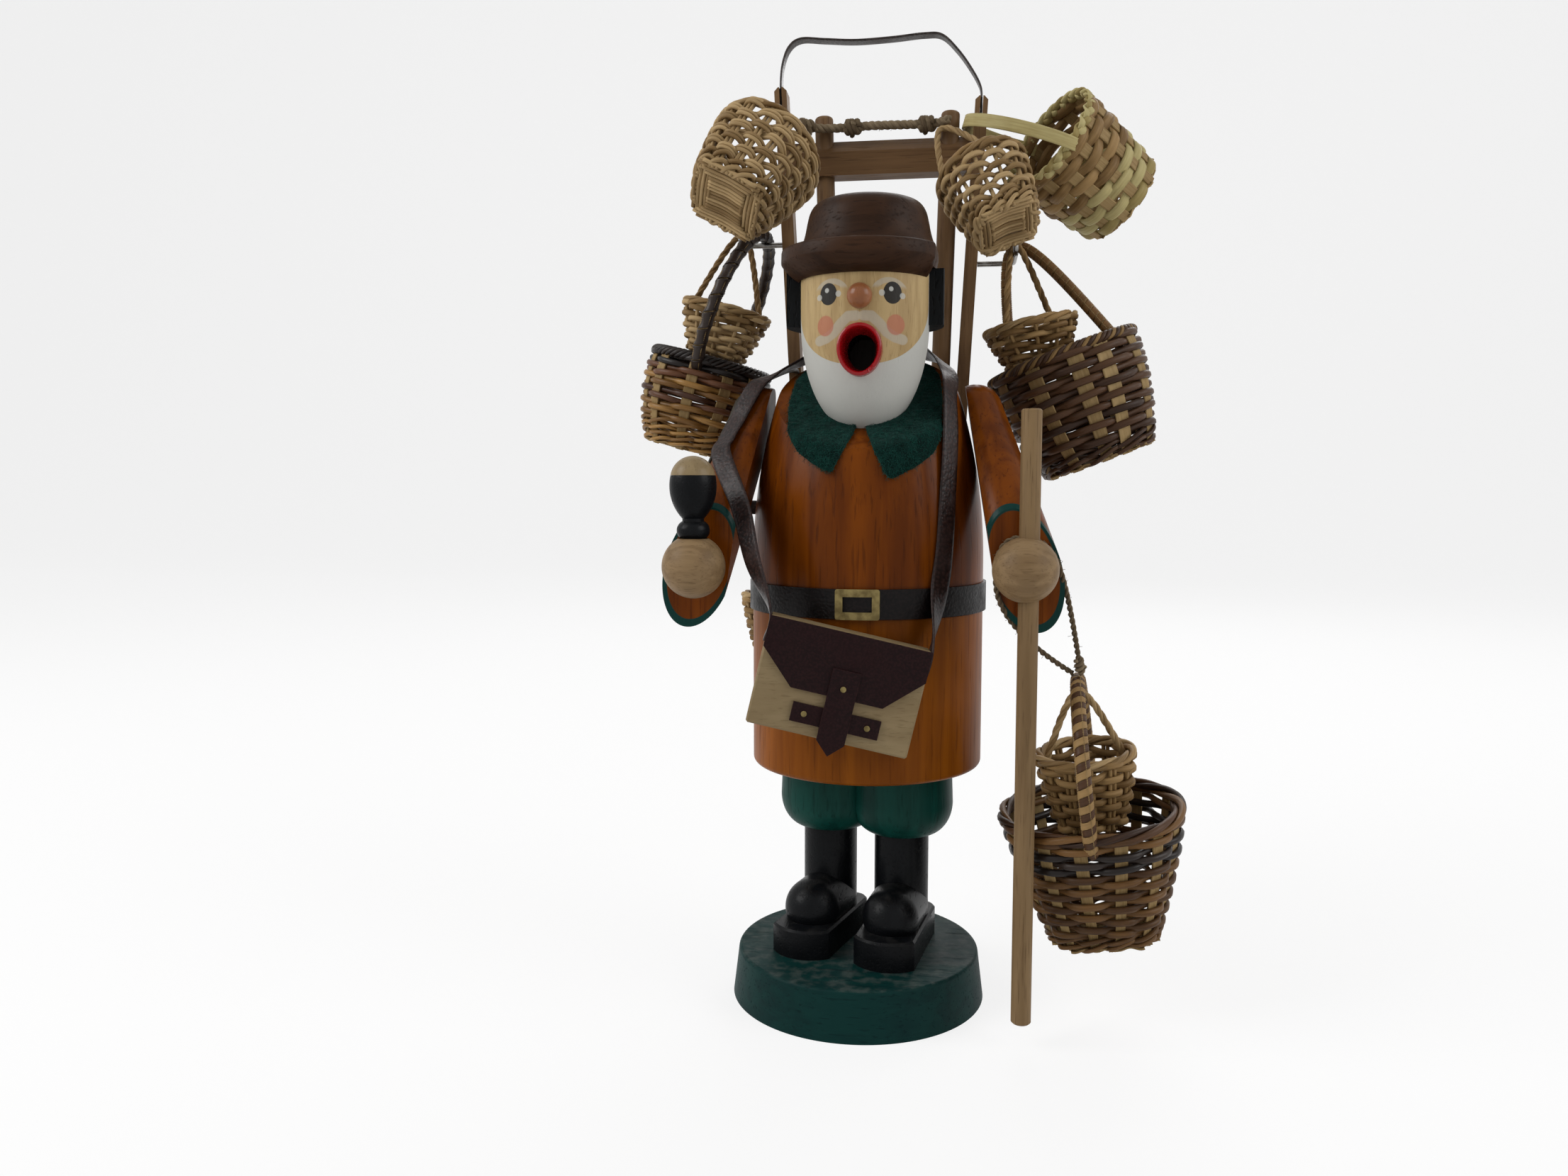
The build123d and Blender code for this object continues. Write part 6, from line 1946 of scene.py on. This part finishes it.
@dataclass
class Studio:
    """Floor, lamps, sky and camera."""

    eye: Triple = (31.4, -404.8, 175.1)
    pitch: float = -5.1
    yaw: float = 8.5
    lens: float = 27.05
    floor_half: float = 6.0
    pale: Colour = (0.9, 0.9, 0.9)
    shadow: float = 0.2
    sky_light: float = 0.3
    lamp_side: float = 0.8

    def build(self) -> None:
        """Sets the stage round the object."""
        self.lay_floor()
        self.light_sky()
        self.hang_lamp("key_lamp", (-1.05, -0.5, 0.9), (0.0, -0.02, 0.16), 11.0)
        self.hang_lamp("fill_lamp", (1.1, -0.35, 0.75), (0.0, 0.0, 0.16), 7.0)
        self.hang_lamp("back_lamp", (0.2, 1.0, 0.95), (0.0, 0.0, 0.18), 5.0)
        self.place_camera()

    def lay_floor(self) -> None:
        """A wide pale sheet that runs up behind the object in one sweep."""
        half, back, sweep = self.floor_half, 1.6, 0.8
        profile = [(-half, 0.0), (back, 0.0)]
        for step in range(1, 13):
            turn = step / 12 * math.pi / 2
            profile.append((back + sweep * math.sin(turn), sweep * (1 - math.cos(turn))))
        profile.append((back + sweep, half))
        corners = [(x, y, z) for y, z in profile for x in (-half, half)]
        faces = [(2 * i, 2 * i + 1, 2 * i + 3, 2 * i + 2) for i in range(len(profile) - 1)]
        mesh = bpy.data.meshes.new("floor")
        mesh.from_pydata(corners, [], faces)
        mesh.shade_smooth()
        material, canvas, shader = new_material("pale_floor")
        cloud = canvas.noise(canvas.where(), 3.0, 2.0)
        tint = canvas.mix(canvas.spread(cloud, 0.3, 0.7), self.pale, tuple(value * 0.985 for value in self.pale))
        seen = self.seen(canvas)
        canvas.fill(
            shader, Base_Color=canvas.mix(seen, tint, tuple(value * self.shadow for value in self.pale)),
            Emission_Color=(1.0, 1.0, 1.0), Emission_Strength=canvas.times(seen, 1.0 - self.shadow), Roughness=0.85,
            Specular_IOR_Level=0.1,
        )
        mesh.materials.append(material)
        link("floor", mesh)

    @staticmethod
    def seen(canvas: Canvas) -> object:
        """Mask of the rays that show the white background.

        Args:
            canvas: The material's or the sky's canvas.

        Returns:
            The mask.
        """
        path = canvas.add("ShaderNodeLightPath").outputs
        mirrored = canvas.math("ADD", path["Is Glossy Ray"], path["Is Transmission Ray"])
        return canvas.math("ADD", path["Is Camera Ray"], mirrored, clamp=True)

    def light_sky(self) -> None:
        """An even pale sky that the camera and reflections see as white."""
        world = bpy.data.worlds.new("studio_sky")
        world.use_nodes = True
        canvas = Canvas(world.node_tree)
        world.node_tree.nodes.clear()
        sky = canvas.add("ShaderNodeBackground")
        strength = canvas.spread(self.seen(canvas), 0.0, 1.0, self.sky_light, 1.0)
        canvas.fill(sky, Color=(1.0, 1.0, 1.0), Strength=strength)
        end = canvas.add("ShaderNodeOutputWorld")
        canvas.feed(end.inputs["Surface"], sky.outputs[0])
        bpy.context.scene.world = world

    def hang_lamp(self, name: str, spot: Triple, aim: Triple, power: float) -> None:
        """Adds one soft lamp.

        Args:
            name: The lamp's name.
            spot: Where it hangs, in metres.
            aim: The point that it faces.
            power: Its power in watts.
        """
        data = bpy.data.lights.new(name, "AREA")
        data.shape = "SQUARE"
        data.size = self.lamp_side
        data.energy = power
        lamp = link(name, data)
        lamp.location = spot
        lamp.rotation_euler = (Vector(aim) - Vector(spot)).to_track_quat("-Z", "Y").to_euler()

    def place_camera(self) -> None:
        """The camera at the photograph's angle."""
        data = bpy.data.cameras.new("camera")
        data.lens = self.lens
        data.sensor_width = 36.0
        data.clip_start = 0.01
        camera = link("camera", data)
        camera.location = tuple(value * MM for value in self.eye)
        camera.rotation_euler = (math.radians(90 + self.pitch), 0.0, math.radians(self.yaw))
        bpy.context.scene.camera = camera


def dress_solids(nodes: dict[str, Thing]) -> None:
    """Gives each turned or stained piece that keeps its solid shape its finish.

    Args:
        nodes: The frame's nodes by name.
    """
    for finish, names in (
        (BASE, "base_disc"), (GREEN, "left_breeches right_breeches"),
        (BLACK, "left_sole right_sole left_toe_cap right_toe_cap left_boot_shaft right_boot_shaft pipe"),
        (HAIR, "hair_band"), (LOWER_COAT, "lower_coat"), (STEEL, "incense_dish dish_nail basket_hooks"),
        (SHADE_DARKENED_COAT, "upper_coat"), (SleeveFinish(SHADE_DARKENED_COAT, "left_sleeve_wood", CUFF, 1), "left_arm"),
        (SleeveFinish(SHADE_DARKENED_COAT, "right_sleeve_wood", CUFF, -1), "right_arm"), (BELT, "belt"),
        (BRASS, "belt_buckle bag_studs"), (NOSE, "nose"), (HAND, "left_hand right_hand"), (BEECH, "staff"),
        (LID, "pipe_lid"), (FRAME, "left_post right_post left_rail right_rail"),
        (CROSSBAR, "top_crossbar middle_crossbar"), (MAPLE, "bag_block"),
        (BAG_LEATHER, "bag_flap bag_cross_strap bag_tongue"),
    ):
        for name in names.split():
            for slot in nodes[name].material_slots:
                slot.material = finish.material()
            LOG.info("%s dressed as %s", name, finish.name)


def baskets() -> list[Basket]:
    """The ten baskets that the figure carries.

    Returns:
        The baskets, in the order that they are woven.
    """
    return [
        Basket(
            "right_basket_woven", "right_baskets", ("right_basket", "right_basket_handle"), slot="honey_wicker",
            rim=(-63.32, 43.85, 221.3), across=(0.9659, 0.0, -0.2588), up=(0.2588, 0.0, 0.9659), rim_radius=22.5,
            foot_radius=17.0, height=35.0, bulge=3.0, stake_finish=SPLINT,
            bands=(
                Band(4, HONEY, 0.9, weave=Weave.TWINED), Band(3, HONEY, 0.9), Band(2, RUSSET, 0.9),
                Band(2, HONEY, 0.9), Band(2, RUSSET, 0.9), Band(2, BARK, 0.9),
            ),
            border=BorderKind.WRAPPED, border_finishes=(BARK,),
            handle=Handle(
                HandleKind.WRAPPED, legs=((-65.28, 24.16, 216.65), (-63.95, 63.54, 216.29)),
                top=(-42.823, 43.85, 267.5), rod=2.2, finish=BARK, core=SPLINT, pitch=6.0, cover=0.9,
            ),
            seed=3, square=0.35, border_reach=1.4,
        ),
        Basket(
            "right_small_woven", "right_small_body", ("right_small_basket",), rim=(-56.32, 37.85, 239.8),
            across=(0.9659, 0.0, -0.2588), up=(0.2588, 0.0, 0.9659), rim_radius=16.5, foot_radius=11.0, height=18.0,
            stake_finish=PALE, bands=(Band(9, PALE, 0.75),),
            handle=rope_handle(((-71.62, 37.85, 238.72), (-43.61, 37.85, 231.22)), (-50.323, 37.85, 266.7), TAN),
            seed=4, stake_rods=1, square=1.0,
        ),
        Basket(
            "left_basket_woven", "left_baskets", ("left_basket", "left_basket_handle"), slot="dark_wicker",
            rim=(66.34, 36.35, 220.8), across=(0.9336, 0.0, 0.3584), up=(-0.3584, 0.0, 0.9336), rim_radius=27.0,
            foot_radius=20.0, height=41.0, bulge=2.5, stake_finish=SPLINT,
            bands=(Band(2, BROWN, 0.9, weave=Weave.TWINED), Band(13, BROWN, 0.95)), border=BorderKind.WRAPPED,
            border_finishes=(BROWN, TAN, BROWN),
            handle=Handle(
                HandleKind.WRAPPED, legs=((50.82, 51.91, 209.49), (85.43, 20.79, 222.78)), top=(49.336, 36.35, 259.5),
                rod=1.9, finish=RUSHES, core=SPLINT, bend=10.0, pitch=3.2, cover=0.84,
            ),
            seed=5, square=0.45, stake_width=5.6, border_reach=1.3,
        ),
        Basket(
            "left_small_woven", "left_baskets", ("left_small_basket",), rim=(54.84, 26.85, 230.8),
            across=(0.9781, 0.0, 0.2079), up=(-0.2079, 0.0, 0.9781), rim_radius=16.5, foot_radius=11.5, height=14.5,
            stake_finish=TAN, bands=(Band(7, TAN, 0.75),), border_finishes=(TAN, PALE),
            handle=rope_handle(((46.2, 16.25, 223.85), (65.55, 37.45, 227.97)), (49.336, 28.35, 259.0), TAN), seed=6,
            stake_rods=1, square=1.0,
        ),
        Basket(
            "hand_basket_woven", "hand_baskets", ("hand_basket", "hand_basket_handle"), slot="honey_wicker",
            rim=(74.31, -19.34, 70.0), across=(0.9926, -0.0085, 0.1213), up=(-0.1216, -0.0696, 0.9901),
            rim_radius=29.0, foot_radius=18.0, height=42.0, bulge=1.0, stakes=14, stake_finish=SPLINT,
            bands=(
                Band(2, RUSHES, 0.9, weave=Weave.TWINED), Band(10, RUSHES, 0.9), Band(3, BARK, 1.0),
                Band(2, RUSHES, 0.9),
            ),
            border_finishes=(BROWN, RUSHES, BROWN),
            handle=Handle(
                HandleKind.WRAPPED, legs=((72.2, -44.96, 62.89), (77.63, 6.98, 67.21)), top=(69.2, -22.263, 111.586),
                rod=2.3, finish=TAN, core=SPLINT, pitch=2.4, cover=0.92, second=BROWN,
            ),
            seed=7, square=0.5, stake_width=4.4, border_reach=1.2,
        ),
        Basket(
            "hand_small_woven", "hand_baskets", ("hand_small_basket",), rim=(72.0, -20.66, 88.81),
            across=(0.9926, -0.0085, 0.1213), up=(-0.1216, -0.0696, 0.9901), rim_radius=15.5, foot_radius=11.0,
            height=24.0, stake_finish=TAN, bands=(Band(10, TAN, 0.7),),
            handle=rope_handle(((59.2, -20.2, 82.22), (86.0, -20.43, 85.5)), (69.601, -22.033, 108.318), PALE),
            seed=8, stake_rods=2,
        ),
        Basket(
            "back_basket_woven", "back_basket_body", ("back_basket",), rim=(-39.76, 66.35, 130.3),
            across=(1.0, 0.0, 0.0), up=(0.0, 0.0, 1.0), rim_radius=16.0, foot_radius=11.0, height=22.0,
            stake_finish=PALE, bands=(Band(9, TAN, 0.75),),
            handle=rope_handle(((-53.76, 66.35, 125.3), (-25.76, 66.35, 125.3)), (-39.757, 66.35, 154.7), PALE),
            seed=9, stake_rods=1,
        ),
        Basket(
            "upper_right_woven", "upper_right_body", ("upper_right_basket",), rim=(-37.0, 16.84, 290.93),
            across=(0.8737, -0.0313, -0.4854), up=(0.3986, 0.6179, 0.6777), rim_radius=20.0, foot_radius=14.0,
            height=30.5, bulge=1.0, stakes=16, stake_finish=PALE,
            bands=(Band(2, PALE, weave=Weave.TWINED), Band(5, PALE, 0.75, rods=2), Band(4, PALE, rods=2)),
            handle=rope_handle(((-53.32, 16.47, 298.65), (-21.87, 15.35, 281.17)), (-27.1, 35.25, 301.5), PALE),
            seed=10, stake_rods=2, square=0.8,
        ),
        Basket(
            "upper_left_woven", "upper_left_body", ("upper_left_basket",), rim=(37.0, 20.5, 281.3),
            across=(0.9299, 0.099, 0.3541), up=(-0.355, 0.4928, 0.7945), rim_radius=16.0, foot_radius=11.5,
            height=26.0, stakes=14, stake_finish=PALE, bands=(Band(2, PALE, weave=Weave.TWINED), Band(9, PALE, 0.75)),
            handle=rope_handle(((25.76, 16.65, 272.37), (51.79, 19.42, 282.29)), (23.0, 34.85, 301.8), PALE), seed=11,
            stake_rods=1, square=0.8,
        ),
        Basket(
            "chip_basket_woven", "chip_body", ("chip_basket",), rim=(60.69, 42.85, 298.3),
            across=(-0.3499, 0.9084, 0.2289), up=(-0.7603, -0.4181, 0.4972), rim_radius=21.0, foot_radius=17.5,
            height=37.0, stakes=14, stake_finish=SPLINT, bands=(Band(4, STRAW, 0.4), Band(5, TAN, 0.5)),
            border=BorderKind.BRAID, border_finishes=(STRAW,),
            handle=Handle(
                HandleKind.BAND, legs=((71.14, 27.68, 291.46), (57.84, 62.2, 300.16)), top=(31.59, 43.85, 305.3),
                rod=2.25, finish=STRAW,
            ),
            seed=12, stake_width=4.6,
        ),
    ]


def straps() -> list[Strap]:
    """The bag's strap, the carrying strap and the handle of the frame.

    Returns:
        The straps, in the order that they are made.
    """
    return [
        Strap(
            "bag_strap_leather", "shoulder_bag", "bag_shoulder_strap", "leather", finish=LEATHER, width=7.0,
            thick=0.9,
            stations=(
                (21.17, -42.06, 115.32, 0.964, 0.135, -0.23), (23.1, -41.79, 123.59, 0.964, 0.135, -0.23),
                (25.2, -31.9, 141.7, 0.62, -0.785, 0.0), (26.6, -29.61, 154.3, 0.668, -0.744, 0.032),
                (27.4, -26.81, 172.3, 0.709, -0.693, 0.13), (28.0, -23.21, 190.3, 0.75, -0.622, 0.227),
                (27.6, -17.35, 204.0, 0.799, -0.503, 0.329), (27.0, -5.5, 211.4, 0.55, -0.5, 0.67),
                (23.4, 6.0, 217.0, 0.5, 0.2, 0.84), (15.4, 19.0, 222.0, 0.45, 0.75, 0.5),
                (0.0, 24.5, 226.0, 0.0, 0.97, 0.25), (-15.4, 19.0, 223.0, -0.45, 0.75, 0.5),
                (-24.4, 8.0, 217.0, -0.5, 0.2, 0.84), (-32.5, 2.5, 212.6, -0.35, -0.1, 0.93),
                (-37.14, -5.7, 208.81, -0.1, -0.5, 0.86), (-40.48, -10.84, 201.81, -0.3, -0.729, 0.615),
                (-42.92, -13.88, 195.85, -0.395, -0.685, 0.612), (-45.37, -18.64, 189.87, -0.426, -0.669, 0.609),
                (-46.16, -24.48, 184.16, -0.3, -0.729, 0.615), (-37.2, -38.2, 167.3, -0.35, -0.93, 0.1),
                (-32.0, -46.5, 151.3, -0.65, -0.75, 0.1), (-25.95, -48.69, 135.3, -0.964, -0.135, 0.23),
                (-27.89, -48.96, 127.03, -0.964, -0.135, 0.23),
            ),
        ),
        Strap(
            "carry_strap_leather", "upper_figure", "carry_strap", "frame_leather", finish=OLIVE, width=5.0, thick=1.2,
            stations=(
                (-31.51, 39.8, 217.0, 0.0, -1.0, 0.15), (-32.41, 29.85, 216.0, -0.2, -0.1, 0.97),
                (-37.5, 8.0, 210.2, -0.35, 0.3, 0.88), (-42.88, -3.41, 204.79, -0.744, -0.416, 0.523),
                (-47.06, -6.85, 195.84, -0.901, -0.176, 0.397), (-50.71, -10.52, 185.62, -0.969, 0.081, 0.232),
                (-51.88, -10.77, 177.28, -0.901, 0.432, -0.041), (-46.5, 8.0, 167.3, -0.85, 0.5, 0.0),
                (-34.66, 33.85, 166.3, -0.9, 0.4, 0.0), (-30.86, 44.85, 166.3, -1.0, 0.1, 0.0),
            ),
        ),
        Strap(
            "frame_handle_leather", "upper_figure", "leather_handle", "frame_leather", finish=GREY_LEATHER, width=5.5,
            thick=0.8,
            stations=(
                (-36.2, 43.85, 314.0, -1.0, 0.0, 0.0), (-36.6, 43.85, 321.0, -1.0, 0.0, 0.0),
                (-36.0, 43.85, 329.0, -0.97, 0.0, 0.25), (-33.6, 43.85, 335.4, -0.75, 0.0, 0.66),
                (-29.0, 43.85, 338.2, -0.2, 0.0, 0.98), (-20.0, 43.85, 337.5, 0.1, 0.0, 0.99),
                (-8.5, 43.85, 336.6, 0.0, 0.0, 1.0), (5.0, 43.85, 336.9, -0.05, 0.0, 1.0),
                (16.0, 43.85, 337.6, -0.05, 0.0, 1.0), (22.5, 43.85, 336.9, 0.45, 0.0, 0.9),
                (28.0, 43.85, 331.8, 0.78, 0.0, 0.62), (33.0, 43.85, 325.0, 0.85, 0.0, 0.53),
                (36.6, 43.85, 318.2, 0.96, 0.0, 0.25), (37.0, 43.85, 312.5, 1.0, 0.0, 0.0),
                (36.8, 43.85, 307.6, 1.0, 0.0, 0.0),
            ),
        ),
    ]


def twines() -> list[Twine]:
    """The twine at the wrist and the twine on the frame.

    Returns:
        The twines, in the order that they are made.
    """
    return [
        Twine(
            "hand_twine_hemp", "hand_baskets", "hand_twine",
            route=(
                (70.05, -22.46, 114.41), (63.8, -37.6, 147.0), (55.5, -37.2, 159.5), (41.5, -37.2, 157.0),
                (43.5, -37.2, 130.5), (67.65, -22.46, 114.41),
            ),
            lay="taut", knots=(0.03,),
        ),
        Twine(
            "peg_twine_hemp", "upper_figure", "peg_twine",
            route=(
                (-28.6, 34.75, 304.7), (-20.6, 39.25, 304.5), (-5.3, 38.25, 305.0), (11.7, 38.25, 304.7),
                (22.0, 39.25, 304.9), (25.5, 34.35, 305.0),
            ),
            lay="taut", diameter=3.2, plies=3, pitch=7.0, knots=(0.05, 0.36, 0.84), seed=6,
        ),
    ]


def main() -> None:
    """Builds and dresses every piece round the frame."""
    logging.basicConfig(level=logging.INFO, format="%(name)s %(message)s")
    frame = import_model()
    Studio().build()
    for twine in twines():
        twine.build()
    dress_solids(frame["nodes"])
    for strap in straps():
        strap.build()
    FeltCollar().build(frame["nodes"])
    for turned in turned_pieces():
        turned.build()
    MouthRing().build()
    for basket in baskets():
        basket.weave()
    bpy.context.scene.view_settings.view_transform = "Standard"


if __name__ == "__main__":
    main()
